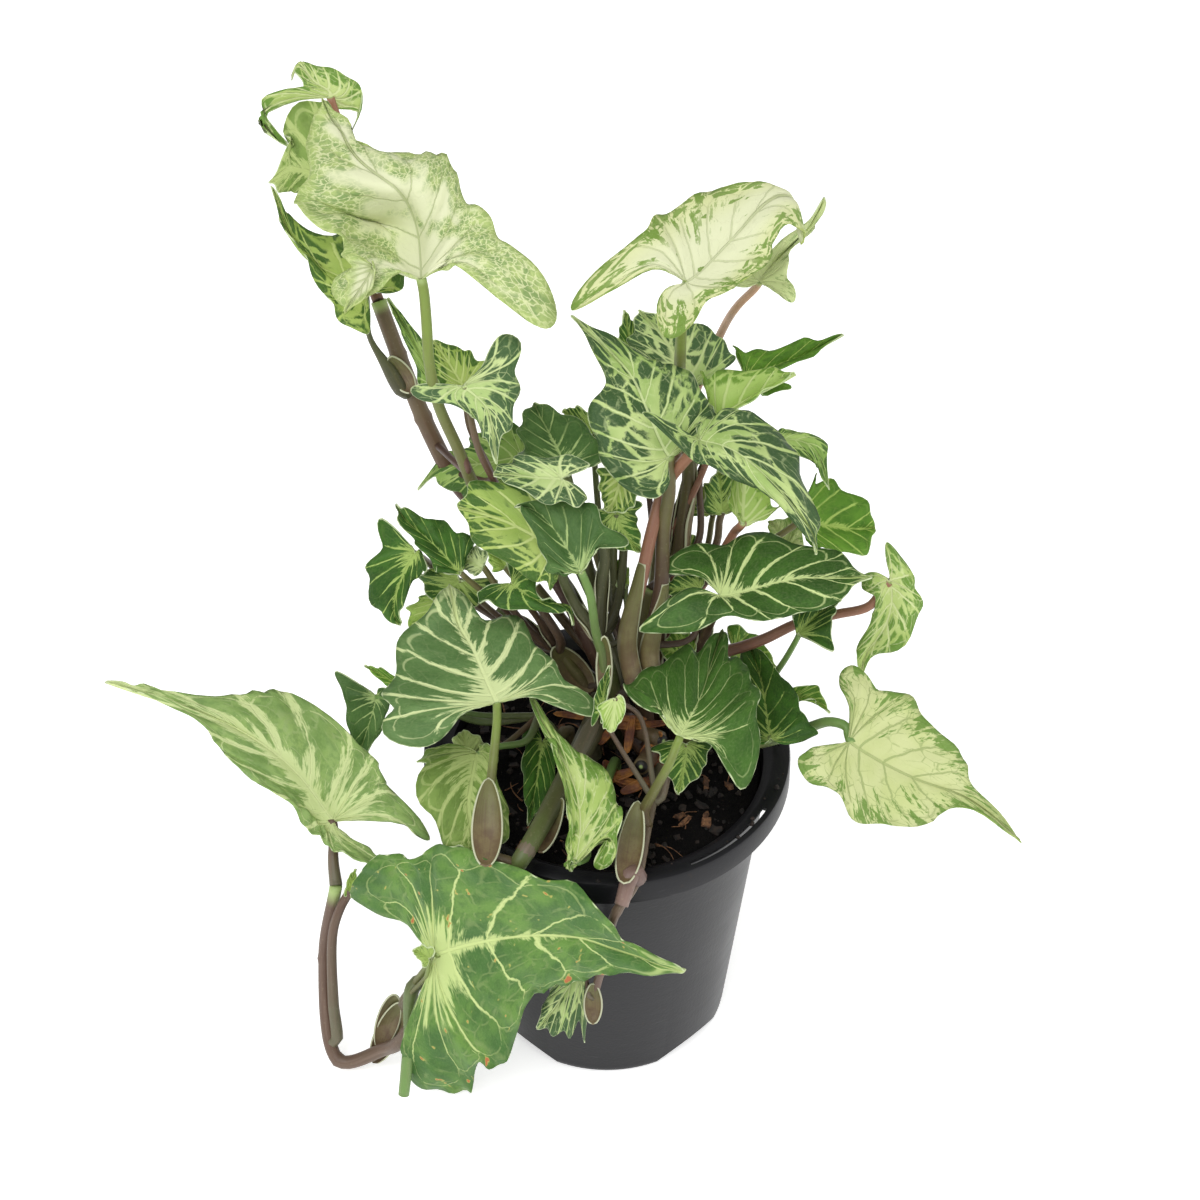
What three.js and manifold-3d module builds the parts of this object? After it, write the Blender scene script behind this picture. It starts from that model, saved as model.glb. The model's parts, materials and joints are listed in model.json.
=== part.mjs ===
// Potted arrowhead vine (an aroid house plant) in a black nursery pot: the pot, the potting mix,
// eleven shoots with their leaf stalks, and every leaf blade as a solid of its own.
// Millimetres, +Z up, +Y away from the front. The origin is the middle of the pot's underside.

import * as THREE from 'three';
import { mergeVertices } from 'three/addons/utils/BufferGeometryUtils.js';
import Module from 'manifold-3d';

const wasm = await Module();
wasm.setup();

// ---- Driving dimensions -------------------------------------------------------------------

const POT_HEIGHT = 124;
const RIM_RADIUS = 65;
const RIM_SKIRT = 10;
const FLANGE_INNER_RADIUS = 58.8;
const WALL_TOP_RADIUS = 56.8;
const BASE_RADIUS = 44;
const WALL = 1.3;
const FOOT_RING_HEIGHT = 8;
const FOOT_RING_INNER_RADIUS = 35;
const ARCH_HEIGHT = 6;
const ARCH_WIDTH = 34;
const DRAIN_RADIUS = 3;
const DRAIN_CIRCLE = 22;
const SLOT_RADIUS = 62;
const SLOT_WIDTH = 1.6;
const SLOT_SPAN = 35;
const POT_SEGMENTS = 48;

const SOIL_LEVEL = 116.5;
const SOIL_ROUGHNESS = 1.1;
const SOIL_SEGMENTS = 28;
const BARK_CHIPS = 22;

const FIT_GAP = 0.35;
const BLADE_THICKNESS = 0.7;
const SHOOT_FOOT_Z = 102;
const STALK_SIDES = 6;
const STALK_STEP = 17;
const SLIVER = 0.02;

// Leaf grids: where the rows lie round the outline, and how many columns each half has.
const LEAF_GRIDS = {
  large: { rows: [0, 0.1, 0.2, 0.3, 0.4, 0.5, 0.58, 0.66, 0.75, 0.84, 0.93], columns: 3 },
  middle: { rows: [0, 0.11, 0.22, 0.36, 0.5, 0.6, 0.7, 0.8, 0.91], columns: 2 },
  small: { rows: [0, 0.2, 0.36, 0.5, 0.66, 0.83], columns: 2 },
};

// Colour, roughness of each finish.
const FINISHES = {
  pot: { color: 0x2b2b2e, roughness: 0.45 },
  soil: { color: 0x1d1612, roughness: 0.95 },
  cream: { color: 0xd5dda9, roughness: 0.5 },
  marbled: { color: 0x9fb877, roughness: 0.5 },
  feathered: { color: 0x3f6b2f, roughness: 0.45 },
  speckled: { color: 0xb4c47d, roughness: 0.5 },
  mottled: { color: 0x6f9448, roughness: 0.5 },
  lime: { color: 0x93ad4c, roughness: 0.5 },
  sage: { color: 0x93b36b, roughness: 0.5 },
  young: { color: 0x86ab4f, roughness: 0.5 },
  bark: { color: 0x5d4a38, roughness: 0.6 },
  umber: { color: 0x6a4a3a, roughness: 0.6 },
  olive: { color: 0x6d7344, roughness: 0.6 },
  tan: { color: 0x7c6a50, roughness: 0.6 },
  green: { color: 0x6f8f48, roughness: 0.6 },
};

// ---- Leaves -------------------------------------------------------------------------------

// Every blade: its finish, its grid, how far its halves lift (cup) and its edge waves (wave),
// and the pins that it is bent through, as [across, up, out] on the layout board.
const LEAVES = {
  crest_pale: {
    finish: 'cream', grid: 'large', cup: 3, wave: 1.8,
    pins: {
      seat: [-66, 167, 92], tip: [-101, 231, 60], neck: [-94, 219, 68], mid: [-75, 199, 84],
      left: [-93, 177, 80], leftFar: [-106, 193, 72], leftNeck: [-106, 216, 64], right: [-47, 190, 86],
      rightFar: [-61, 210, 76], rightNeck: [-90, 214, 68], leftHip: [-95, 169, 86],
      leftLobe: [-91, 157, 90], leftNotch: [-74, 169, 90], rightHip: [-27, 174, 92],
      rightLobe: [-23, 149, 98], rightNotch: [-54, 172, 94],
    },
  },
  crest_hood: {
    finish: 'sage', grid: 'small', cup: 4, wave: 0.8,
    pins: {
      seat: [-89, 193, 36], tip: [-120, 202, 34], left: [-100, 229, 36], leftFar: [-114, 220, 38],
      right: [-102, 190, 32], leftLobe: [-83, 220, 32], rightLobe: [-83, 182, 32],
    },
  },
  crest_curl: {
    finish: 'sage', grid: 'middle', cup: 1, wave: 0.2,
    pins: {
      seat: [-99, 231, 22], mid: [-113, 231, 26], neck: [-120, 221, 26], tip: [-116, 214, 22],
      left: [-107, 226, 22], leftFar: [-114, 225, 26], right: [-110, 236, 22],
      rightFar: [-123, 233, 26], leftLobe: [-90, 220, 20], rightLobe: [-87, 236, 18],
      rightHip: [-100, 242, 20],
    },
  },
  crest_under: {
    finish: 'mottled', grid: 'middle', cup: 4, wave: 1.2,
    pins: {
      seat: [-85, 162, 62], tip: [-119, 200, 44], left: [-101, 164, 62], leftFar: [-110, 177, 54],
      right: [-79, 181, 58], rightFar: [-100, 195, 48], leftHip: [-96, 154, 64],
      leftLobe: [-85, 147, 64], rightLobe: [-70, 163, 64],
    },
  },
  crest_strip: {
    finish: 'mottled', grid: 'small', cup: 4, wave: 0.6,
    pins: {
      seat: [-61, 129, 62], tip: [-78, 160, 54], left: [-70, 142, 58], right: [-65, 142, 58],
      leftLobe: [-64, 125, 62], rightLobe: [-58, 125, 62],
    },
  },
  shoulder_left: {
    finish: 'marbled', grid: 'middle', cup: 3, wave: 1.2,
    pins: {
      seat: [-53, 129, 80], tip: [-39, 101, 82], neck: [-40, 109, 82], left: [-33, 128, 78],
      leftFar: [-35, 118, 80], right: [-49, 117, 78], rightFar: [-44, 115, 80],
      leftHip: [-32, 137, 76], leftLobe: [-35, 146, 74], leftNotch: [-44, 136, 78],
      rightLobe: [-70, 127, 76], rightNotch: [-59, 128, 78],
    },
  },
  shoulder_back: {
    finish: 'mottled', grid: 'small', cup: 3, wave: 0.8,
    pins: {
      seat: [-53, 128, 66], tip: [-60, 145, 58], left: [-62, 136, 62], right: [-48, 138, 60],
      leftLobe: [-56, 123, 66], rightLobe: [-45, 128, 64],
    },
  },
  far_left: {
    finish: 'speckled', grid: 'large', cup: 5, wave: 1.6,
    pins: {
      seat: [-97, -25, -28], mid: [-122, 2, -38], neck: [-156, 17, -50], tip: [-178, 24, -54],
      left: [-109, -25, -26], leftFar: [-134, -2, -40], leftNeck: [-154, 15, -48],
      right: [-83, -1, -28], rightFar: [-117, 19, -50], rightNeck: [-154, 18, -52],
      leftHip: [-96, -38, -20], leftLobe: [-77, -42, -12], leftNotch: [-90, -31, -22],
      rightHip: [-71, -16, -12], rightLobe: [-62, -32, 2], rightNotch: [-83, -25, -14],
    },
  },
  left_behind: {
    finish: 'feathered', grid: 'small', cup: 3, wave: 1.0,
    pins: {
      seat: [-82, 19, -44], tip: [-90, -9, -52], left: [-78, 12, -44], right: [-92, 16, -48],
      leftLobe: [-78, 22, -42], rightLobe: [-95, 28, -44],
    },
  },
  left_spear: {
    finish: 'young', grid: 'small', cup: 2, wave: 0.3,
    pins: {
      seat: [-70, 21, 6], tip: [-86, 30, 2], left: [-76, 22, 4], right: [-78, 28, 4],
      leftLobe: [-69, 19, 6], rightLobe: [-69, 22, 6],
    },
  },
  low_left: {
    finish: 'speckled', grid: 'large', cup: 5, wave: 1.8,
    pins: {
      seat: [-61, -73, 14], tip: [28, -78, 30], neck: [12, -73, 36], mid: [-17, -66, 38],
      left: [-59, -35, 46], leftFar: [-16, -44, 62], leftNeck: [10, -68, 44], right: [-38, -106, -14],
      rightFar: [-22, -83, 14], rightNeck: [5, -77, 28], leftHip: [-76, -36, 24],
      leftLobe: [-90, -49, 2], leftNotch: [-70, -61, 12], rightHip: [-49, -117, -34],
      rightLobe: [-69, -118, -34], rightNotch: [-70, -97, -10],
    },
  },
  low_small: {
    finish: 'young', grid: 'small', cup: 2, wave: 0.6,
    pins: {
      seat: [-9, -85, 2], tip: [-27, -99, -10], left: [-11, -100, -10], right: [-18, -89, -4],
      leftLobe: [-6, -96, -6], rightLobe: [-7, -81, 4],
    },
  },
  front_left: {
    finish: 'feathered', grid: 'large', cup: 4, wave: 1.2,
    pins: {
      seat: [-39, 17, 46], tip: [-57, 57, 8], neck: [-54, 50, 14], mid: [-48, 37, 28],
      left: [-77, 21, 34], leftFar: [-70, 35, 18], right: [-18, 29, 36], rightFar: [-36, 45, 18],
      leftHip: [-79, 9, 44], leftLobe: [-65, 0, 50], leftNotch: [-52, 12, 48], rightHip: [-10, 21, 42],
      rightLobe: [-5, 11, 48], rightNotch: [-26, 18, 46],
    },
  },
  front_centre: {
    finish: 'feathered', grid: 'large', cup: 4, wave: 1.0,
    pins: {
      seat: [26, 5, 58], tip: [41, 43, 22], neck: [39, 37, 26], mid: [34, 21, 40], left: [12, 28, 40],
      leftFar: [28, 33, 30], leftHip: [5, 21, 46], leftLobe: [10, 16, 50], leftNotch: [20, 13, 54],
      right: [53, 19, 38], rightFar: [45, 29, 30], rightHip: [55, 8, 48], rightLobe: [46, -13, 56],
      rightNotch: [35, 3, 56],
    },
  },
  front_right: {
    finish: 'feathered', grid: 'middle', cup: 3, wave: 1.0,
    pins: {
      seat: [58, 4, 30], tip: [50, 38, 2], left: [45, 18, 12], right: [69, 13, 24],
      rightFar: [63, 24, 14], leftLobe: [49, 2, 20], rightLobe: [73, 5, 30],
    },
  },
  right_inner: {
    finish: 'mottled', grid: 'small', cup: 3, wave: 0.8,
    pins: {
      seat: [45, 35, -8], tip: [60, 29, -12], left: [51, 41, -14], right: [48, 29, -8],
      leftLobe: [42, 43, -10], rightLobe: [43, 33, -6],
    },
  },
  right_spread: {
    finish: 'feathered', grid: 'large', cup: 4, wave: 1.0,
    pins: {
      seat: [40, 55, 54], tip: [94, 61, 44], mid: [68, 61, 50], left: [49, 75, 38],
      leftFar: [74, 69, 40], leftHip: [33, 71, 38], leftLobe: [19, 64, 42], leftNotch: [32, 61, 48],
      right: [49, 46, 60], rightFar: [73, 49, 52], rightHip: [33, 43, 60], rightLobe: [12, 41, 56],
      rightNotch: [29, 56, 56],
    },
  },
  right_droop: {
    finish: 'speckled', grid: 'middle', cup: 3, wave: 1.0,
    pins: {
      seat: [100, 60, 28], tip: [90, 26, 10], neck: [91, 32, 12], left: [111, 53, 24],
      leftFar: [105, 39, 18], leftNeck: [93, 32, 12], right: [95, 52, 24], rightFar: [91, 41, 16],
      rightNeck: [88, 32, 12], leftHip: [107, 62, 26], leftLobe: [99, 74, 26], rightLobe: [90, 61, 26],
    },
  },
  right_white: {
    finish: 'cream', grid: 'large', cup: 3, wave: 1.4,
    pins: {
      seat: [86, 3, 32], tip: [147, -33, 18], neck: [136, -23, 20], mid: [114, -12, 28],
      left: [107, 17, 24], leftFar: [122, -2, 22], leftNeck: [134, -17, 20], leftHip: [92, 25, 22],
      leftLobe: [82, 27, 22], leftNotch: [86, 15, 28], right: [89, -25, 38], rightFar: [111, -25, 30],
      rightNeck: [130, -22, 22], rightHip: [76, -13, 38], rightLobe: [67, -4, 36],
      rightNotch: [77, 1, 34],
    },
  },
  top_pale: {
    finish: 'cream', grid: 'large', cup: 4, wave: 1.4,
    pins: {
      seat: [28, 166, 95], tip: [69, 179, 76], neck: [66, 195, 82], mid: [48, 185, 92],
      left: [20, 190, 88], leftFar: [39, 195, 84], leftNeck: [58, 198, 82], leftHip: [5, 177, 94],
      leftLobe: [-12, 155, 98], leftNotch: [15, 170, 96], right: [45, 164, 92],
      rightFar: [56, 176, 88], rightNeck: [64, 186, 84], rightHip: [33, 154, 98],
      rightLobe: [20, 146, 100], rightNotch: [20, 162, 97],
    },
  },
  centre_marbled: {
    finish: 'marbled', grid: 'large', cup: 2.5, wave: 0.8,
    pins: {
      seat: [22, 104, 70], tip: [-13, 154, 60], neck: [-1, 143, 64], left: [-4, 108, 68],
      leftFar: [-3, 125, 66], leftNeck: [-2, 137, 64], right: [35, 124, 60], rightFar: [21, 136, 60],
      rightNeck: [6, 142, 62], leftHip: [2, 95, 72], leftLobe: [17, 89, 74], leftNotch: [22, 96, 72],
      rightHip: [40, 118, 62], rightLobe: [43, 110, 66], rightNotch: [30, 108, 68],
    },
  },
  right_arch: {
    finish: 'marbled', grid: 'large', cup: 4, wave: 1.2,
    pins: {
      seat: [33, 110, 78], tip: [74, 69, 64], neck: [72, 77, 68], mid: [53, 100, 84],
      left: [51, 118, 68], leftFar: [66, 99, 70], leftHip: [43, 118, 68], leftLobe: [38, 114, 72],
      right: [37, 100, 82], rightFar: [57, 91, 76], rightHip: [29, 103, 82], rightLobe: [13, 119, 82],
      rightNotch: [26, 113, 80],
    },
  },
  arch_under: {
    finish: 'young', grid: 'small', cup: 3, wave: 0.6,
    pins: {
      seat: [49, 83, 46], tip: [51, 102, 52], left: [60, 87, 44], right: [44, 94, 46],
      leftLobe: [59, 82, 44], rightLobe: [46, 86, 46],
    },
  },
  boat_right: {
    finish: 'young', grid: 'middle', cup: 6, wave: 0.6,
    pins: {
      seat: [40, 119, 52], tip: [67, 132, 44], left: [37, 131, 44], leftFar: [56, 131, 40],
      right: [52, 123, 52], rightFar: [61, 127, 48], leftLobe: [33, 129, 48], rightLobe: [41, 118, 54],
    },
  },
  boat_long: {
    finish: 'mottled', grid: 'small', cup: 5, wave: 0.9,
    pins: {
      seat: [46, 136, 30], tip: [84, 147, 22], left: [53, 140, 24], right: [54, 132, 32],
      leftFar: [66, 141, 22], rightFar: [68, 137, 26], leftLobe: [45, 140, 28],
      rightLobe: [46, 132, 32],
    },
  },
  top_right: {
    finish: 'sage', grid: 'middle', cup: 4, wave: 0.6,
    pins: {
      seat: [58, 167, 62], tip: [77, 196, 50], left: [53, 171, 58], leftFar: [67, 183, 54],
      right: [65, 172, 58], rightFar: [70, 182, 52], leftLobe: [46, 163, 62], rightLobe: [64, 158, 66],
      leftNotch: [56, 164, 62], rightNotch: [61, 163, 63],
    },
  },
  top_marbled: {
    finish: 'marbled', grid: 'small', cup: 4, wave: 1.0,
    pins: {
      seat: [29, 129, 34], tip: [10, 155, 38], left: [7, 141, 35], right: [37, 149, 33],
      leftLobe: [19, 127, 36], rightLobe: [43, 136, 32],
    },
  },
  upper_dark: {
    finish: 'feathered', grid: 'middle', cup: 4, wave: 1.0,
    pins: {
      seat: [-15, 102, 58], tip: [-26, 123, 44], left: [-30, 108, 50], leftFar: [-30, 115, 46],
      right: [-5, 110, 52], rightFar: [-14, 118, 46], leftLobe: [-28, 100, 56],
      rightLobe: [-2, 103, 56],
    },
  },
  upper_tail: {
    finish: 'mottled', grid: 'small', cup: 4, wave: 1.0,
    pins: {
      seat: [-31, 104, 30], tip: [-67, 92, 18], neck: [-59, 100, 22], left: [-44, 91, 28],
      leftFar: [-53, 91, 24], right: [-43, 112, 24], rightFar: [-51, 106, 22], leftLobe: [-28, 96, 32],
      rightLobe: [-29, 113, 26],
    },
  },
  fold_marbled: {
    finish: 'marbled', grid: 'middle', cup: 4, wave: 1.0,
    pins: {
      seat: [-16, 96, 76], tip: [-40, 97, 68], left: [-20, 87, 78], leftFar: [-32, 93, 72],
      right: [-29, 102, 70], leftLobe: [-7, 88, 78], rightLobe: [-6, 101, 74],
    },
  },
  left_lime: {
    finish: 'lime', grid: 'middle', cup: 4, wave: 1.2,
    pins: {
      seat: [-22, 73, 66], tip: [-53, 84, 54], mid: [-38, 80, 60], left: [-26, 62, 64],
      leftFar: [-43, 73, 58], right: [-26, 92, 60], rightFar: [-46, 94, 58], leftLobe: [-19, 62, 66],
      rightLobe: [-19, 86, 64],
    },
  },
  centre_dark: {
    finish: 'feathered', grid: 'middle', cup: 4, wave: 1.0,
    pins: {
      seat: [-10, 62, 78], tip: [-32, 85, 70], left: [-22, 69, 74], leftFar: [-27, 77, 72],
      right: [-5, 85, 74], rightFar: [-18, 87, 70], leftLobe: [-16, 62, 76], rightHip: [2, 78, 76],
      rightLobe: [6, 73, 76], rightNotch: [-4, 70, 77],
    },
  },
  left_dark: {
    finish: 'feathered', grid: 'middle', cup: 4, wave: 1.2,
    pins: {
      seat: [-65, 70, 34], tip: [-73, 44, 28], left: [-68, 60, 32], leftFar: [-71, 52, 30],
      right: [-84, 64, 28], rightFar: [-81, 51, 26], leftLobe: [-62, 67, 36], rightHip: [-79, 73, 30],
      rightLobe: [-79, 81, 32],
    },
  },
  left_bright: {
    finish: 'young', grid: 'middle', cup: 4, wave: 1.0,
    pins: {
      seat: [-52, 63, 44], tip: [-75, 87, 30], neck: [-72, 82, 33], left: [-63, 67, 40],
      leftFar: [-68, 74, 36], right: [-50, 74, 38], rightFar: [-61, 81, 34], leftLobe: [-59, 61, 44],
      rightLobe: [-44, 67, 42],
    },
  },
  left_low: {
    finish: 'feathered', grid: 'small', cup: 3, wave: 1.2,
    pins: {
      seat: [-51, 61, 30], tip: [-60, 52, 24], left: [-44, 54, 26], right: [-66, 64, 24],
      leftLobe: [-39, 62, 32], rightLobe: [-57, 67, 30],
    },
  },
  left_hook: {
    finish: 'feathered', grid: 'middle', cup: 3, wave: 1.0,
    pins: {
      seat: [-35, 60, 46], tip: [-11, 44, 52], neck: [-15, 49, 52], left: [-26, 67, 48],
      leftFar: [-21, 55, 50], right: [-35, 49, 46], rightFar: [-23, 49, 50], leftLobe: [-37, 65, 42],
      rightLobe: [-45, 54, 42],
    },
  },
  left_yellow: {
    finish: 'lime', grid: 'small', cup: 3, wave: 0.8,
    pins: {
      seat: [-58, 53, -2], tip: [-69, 39, -10], left: [-59, 43, -6], right: [-69, 51, -8],
      leftLobe: [-54, 51, -2], rightLobe: [-63, 55, -4],
    },
  },
  right_fold: {
    finish: 'lime', grid: 'middle', cup: 5, wave: 1.2,
    pins: {
      seat: [67, 81, 36], tip: [95, 78, 28], left: [80, 92, 28], leftFar: [90, 85, 26],
      right: [82, 66, 36], rightFar: [92, 70, 32], leftLobe: [70, 94, 34], rightLobe: [73, 70, 38],
    },
  },
  right_hook: {
    finish: 'mottled', grid: 'small', cup: 3, wave: 0.8,
    pins: {
      seat: [58, 108, 50], tip: [78, 93, 42], mid: [70, 107, 46], left: [66, 112, 46],
      right: [67, 104, 46], leftLobe: [56, 112, 50], rightLobe: [57, 104, 50],
    },
  },
  right_small: {
    finish: 'feathered', grid: 'small', cup: 3, wave: 0.8,
    pins: {
      seat: [68, 41, 26], tip: [83, 53, 18], left: [69, 49, 22], right: [80, 46, 24],
      leftLobe: [65, 45, 26], rightLobe: [79, 35, 30],
    },
  },
  right_crescent: {
    finish: 'young', grid: 'small', cup: 2, wave: 0.4,
    pins: {
      seat: [65, 18, 6], tip: [79, 13, 10], left: [73, 23, 6], right: [71, 17, 8],
      leftLobe: [63, 21, 6], rightLobe: [64, 17, 6],
    },
  },
  pot_pale: {
    finish: 'lime', grid: 'middle', cup: 4, wave: 1.2,
    pins: {
      seat: [-46, -1, 24], tip: [-47, -35, 42], left: [-36, -16, 32], leftFar: [-35, -31, 42],
      right: [-65, -13, 28], rightFar: [-61, -30, 36], leftLobe: [-49, 6, 18],
      rightLobe: [-65, -2, 20],
    },
  },
  pot_dark: {
    finish: 'feathered', grid: 'small', cup: 3, wave: 0.8,
    pins: {
      seat: [-23, 3, 4], tip: [-28, -27, 24], left: [-19, -12, 14], right: [-30, -6, 12],
      leftLobe: [-18, 4, 2], rightLobe: [-28, 8, 0],
    },
  },
  front_pale: {
    finish: 'young', grid: 'middle', cup: 3, wave: 1.0,
    pins: {
      seat: [-7, -40, 54], mid: [-10, -14, 46], neck: [-22, 8, 36], tip: [-28, 21, 30],
      left: [-12, -33, 52], leftFar: [-18, -12, 44], right: [2, -31, 52], rightFar: [1, -15, 44],
      leftLobe: [-12, -43, 56], rightLobe: [-2, -42, 56],
    },
  },
  front_under: {
    finish: 'feathered', grid: 'small', cup: 3, wave: 0.8,
    pins: {
      seat: [28, 2, 32], tip: [25, -16, 34], left: [34, -6, 32], right: [20, -5, 32],
      leftLobe: [34, 2, 28], rightLobe: [17, 1, 30],
    },
  },
};

// ---- Shoots -------------------------------------------------------------------------------

// Every shoot: its foot in the soil as [x, y], the places its stem runs through on the board,
// and the stalk of each of its leaves, with the places that stalk runs through.
const SHOOTS = [
  {
    name: 'shoot_tall_left', finish: 'bark', girth: 3.2, foot: [5, 21],
    stem: [[-6, 39, 4], [-11, 57, 14]],
    stalks: [
      {
        leaf: 'crest_pale', radius: 2.0, sheath: 3.0,
        route: [[-34, 76, 30], [-45, 91, 40], [-50, 99, 48], [-56, 112, 74], [-61, 129, 94], [-64, 149, 93]],
      },
      { leaf: 'crest_hood', radius: 1.3, route: [[-47, 89, 10], [-73, 129, 34], [-84, 151, 40]] },
      {
        leaf: 'crest_curl', radius: 1.4,
        route: [[-44, 86, 6], [-66, 124, 22], [-81, 177, 26], [-93, 218, 20]],
      },
      {
        leaf: 'crest_under', radius: 2.3, sheath: 2.8,
        route: [[-38, 81, 30], [-57, 102, 50], [-64, 120, 54], [-75, 145, 58]],
      },
      { leaf: 'crest_strip', radius: 1.1, route: [[-45, 96, 56], [-56, 115, 58]] },
      { leaf: 'shoulder_left', radius: 1.3, route: [[-38, 89, 42], [-46, 108, 70]] },
      { leaf: 'shoulder_back', radius: 1.1, route: [[-38, 92, 40], [-49, 115, 60]] },
    ],
  },
  {
    name: 'shoot_tall_right', finish: 'bark', girth: 3.2, foot: [18, 25],
    stem: [[17, 39, 0], [17, 67, 18]],
    stalks: [
      {
        leaf: 'top_pale', radius: 2.1, sheath: 2.8,
        route: [[19, 99, 36], [22, 117, 44], [24, 134, 46], [26, 145, 74]],
      },
      {
        leaf: 'top_right', radius: 1.6,
        route: [[26, 110, 28], [33, 131, 14], [39, 147, 22], [49, 160, 50]],
      },
      { leaf: 'top_marbled', radius: 1.3, route: [[24, 103, 24], [27, 120, 26]] },
      { leaf: 'boat_long', radius: 1.2, route: [[29, 96, 24], [41, 124, 24]] },
      { leaf: 'boat_right', radius: 1.2, route: [[31, 92, 32], [38, 110, 44]] },
    ],
  },
  {
    name: 'shoot_centre', finish: 'umber', girth: 3.6, foot: [14, 10],
    stem: [[12, 32, 20], [15, 57, 36]],
    stalks: [
      { leaf: 'centre_marbled', radius: 2.2, sheath: 3.2, route: [[19, 81, 52], [23, 94, 62]] },
      {
        leaf: 'right_arch', radius: 1.9, sheath: 3.0,
        route: [[29, 57, 26], [32, 73, 34], [34, 97, 66]],
      },
      { leaf: 'arch_under', radius: 1.1, route: [[29, 53, 22], [39, 68, 23], [44, 77, 33]] },
      { leaf: 'right_hook', radius: 1.1, route: [[33, 67, 32], [47, 96, 42]] },
      { leaf: 'right_fold', radius: 1.3, route: [[36, 60, 24], [58, 74, 28]] },
    ],
  },
  {
    name: 'shoot_left', finish: 'olive', girth: 3.0, foot: [3, 10],
    stem: [[2, 25, 18], [-3, 39, 34]],
    stalks: [
      { leaf: 'upper_dark', radius: 1.4, sheath: 2.2, route: [[-6, 67, 46], [-12, 89, 54]] },
      { leaf: 'upper_tail', radius: 1.2, route: [[-13, 67, 30], [-24, 92, 34]] },
      { leaf: 'fold_marbled', radius: 1.3, route: [[-8, 67, 54], [-12, 87, 68]] },
      { leaf: 'left_lime', radius: 1.3, sheath: 2.0, route: [[-11, 53, 48], [-18, 67, 58]] },
      { leaf: 'centre_dark', radius: 1.6, sheath: 2.2, route: [[-6, 48, 56], [-9, 57, 70]] },
    ],
  },
  {
    name: 'shoot_low_left', finish: 'umber', girth: 3.0, foot: [-5, 17],
    stem: [[-7, 21, -4], [-17, 35, 4]],
    stalks: [
      { leaf: 'left_dark', radius: 1.3, route: [[-38, 46, 2], [-56, 58, 2], [-62, 65, 12]] },
      { leaf: 'left_bright', radius: 1.2, sheath: 2.0, route: [[-31, 46, 10], [-44, 56, 34]] },
      { leaf: 'left_low', radius: 1.1, route: [[-31, 42, 4], [-45, 53, 12]] },
      { leaf: 'left_hook', radius: 1.2, sheath: 2.0, route: [[-24, 46, 22], [-31, 55, 38]] },
      { leaf: 'left_yellow', radius: 1.0, route: [[-38, 39, -8], [-52, 50, -6]] },
    ],
    bracts: [{ from: [-5, 23, -2], to: [-18, 36, 8], width: 8 }],
  },
  {
    name: 'shoot_right', finish: 'umber', girth: 3.0, foot: [25, 15],
    stem: [[27, 21, 0], [32, 34, 6]],
    stalks: [
      { leaf: 'right_spread', radius: 1.7, sheath: 2.4, route: [[34, 40, 14], [38, 48, 36]] },
      {
        leaf: 'right_droop', radius: 1.8,
        route: [[42, 35, 6], [55, 39, 12], [68, 45, 16], [81, 48, 20], [93, 51, 24]],
      },
      { leaf: 'right_small', radius: 1.2, route: [[44, 22, -2], [54, 21, -2], [61, 29, 8]] },
      { leaf: 'right_inner', radius: 1.0, route: [[38, 31, -6]] },
    ],
  },
  {
    name: 'vine_right', finish: 'tan', girth: 2.4, foot: [27, 3],
    stem: [[31, 4, 4], [41, 2, 10]],
    stalks: [
      {
        leaf: 'right_white', radius: 1.9,
        route: [[56, 3, 12], [69, 7, 16], [79, 10, 24], [85, 8, 28]],
      },
      { leaf: 'front_right', radius: 1.4, route: [[49, 1, 18]] },
      { leaf: 'right_crescent', radius: 1.0, route: [[52, 10, 0]] },
    ],
  },
  {
    name: 'vine_front', finish: 'green', girth: 2.3, foot: [14, 1],
    stem: [
      [16, -15, 20], [16, -23, 30], [15, -34, 44], [12, -44, 51], [3, -54, 47], [-2, -78, 12],
      [-4, -89, -2],
    ],
    stalks: [
      { leaf: 'front_centre', radius: 1.7, route: [[12, -35, 50], [17, -18, 56], [22, -5, 58]] },
      { leaf: 'front_under', radius: 1.0, route: [[19, -18, 30], [23, -5, 30]] },
      { leaf: 'low_small', radius: 1.0, route: [[-5, -87, 0]] },
    ],
    bracts: [{ from: [14, -18, 34], to: [5, -53, 54], width: 8.5 }],
  },
  {
    name: 'vine_left', finish: 'bark', girth: 2.6, foot: [-5, 5],
    stem: [
      [-8, -2, 12], [-18, -14, 28], [-30, -35, 50], [-38, -46, 40], [-46, -58, 18], [-59, -83, -16],
      [-73, -103, -32], [-79, -106, -46], [-95, -111, -58], [-100, -74, -43], [-96, -48, -26],
    ],
    stalks: [
      { leaf: 'far_left', radius: 1.5, route: [[-96, -35, -28]] },
      { leaf: 'front_left', radius: 1.7, route: [[-44, -35, 54], [-41, -10, 44], [-39, 10, 42]] },
      { leaf: 'low_left', radius: 1.5, route: [[-72, -91, -22], [-68, -83, -8]] },
    ],
    bracts: [{ from: [-44, -37, 54], to: [-41, -10, 44], width: 9.5 }, { from: [-81, -106, -46], to: [-75, -87, -24], width: 8 }],
  },
  {
    name: 'shoot_front_left', finish: 'tan', girth: 2.6, foot: [-14, 11],
    stem: [[-17, 5, -6], [-24, 12, 2]],
    stalks: [
      { leaf: 'left_spear', radius: 1.0, route: [[-49, 13, 0]] },
      { leaf: 'left_behind', radius: 1.2, route: [[-45, 10, -6], [-59, 15, -6], [-73, 18, -34]] },
      { leaf: 'pot_pale', radius: 1.3, route: [[-29, 3, 14], [-39, 1, 20]] },
      { leaf: 'pot_dark', radius: 1.0, route: [[-19, 6, -6]] },
    ],
  },
  {
    name: 'shoot_front', finish: 'green', girth: 2.2, foot: [3, -5],
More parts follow.
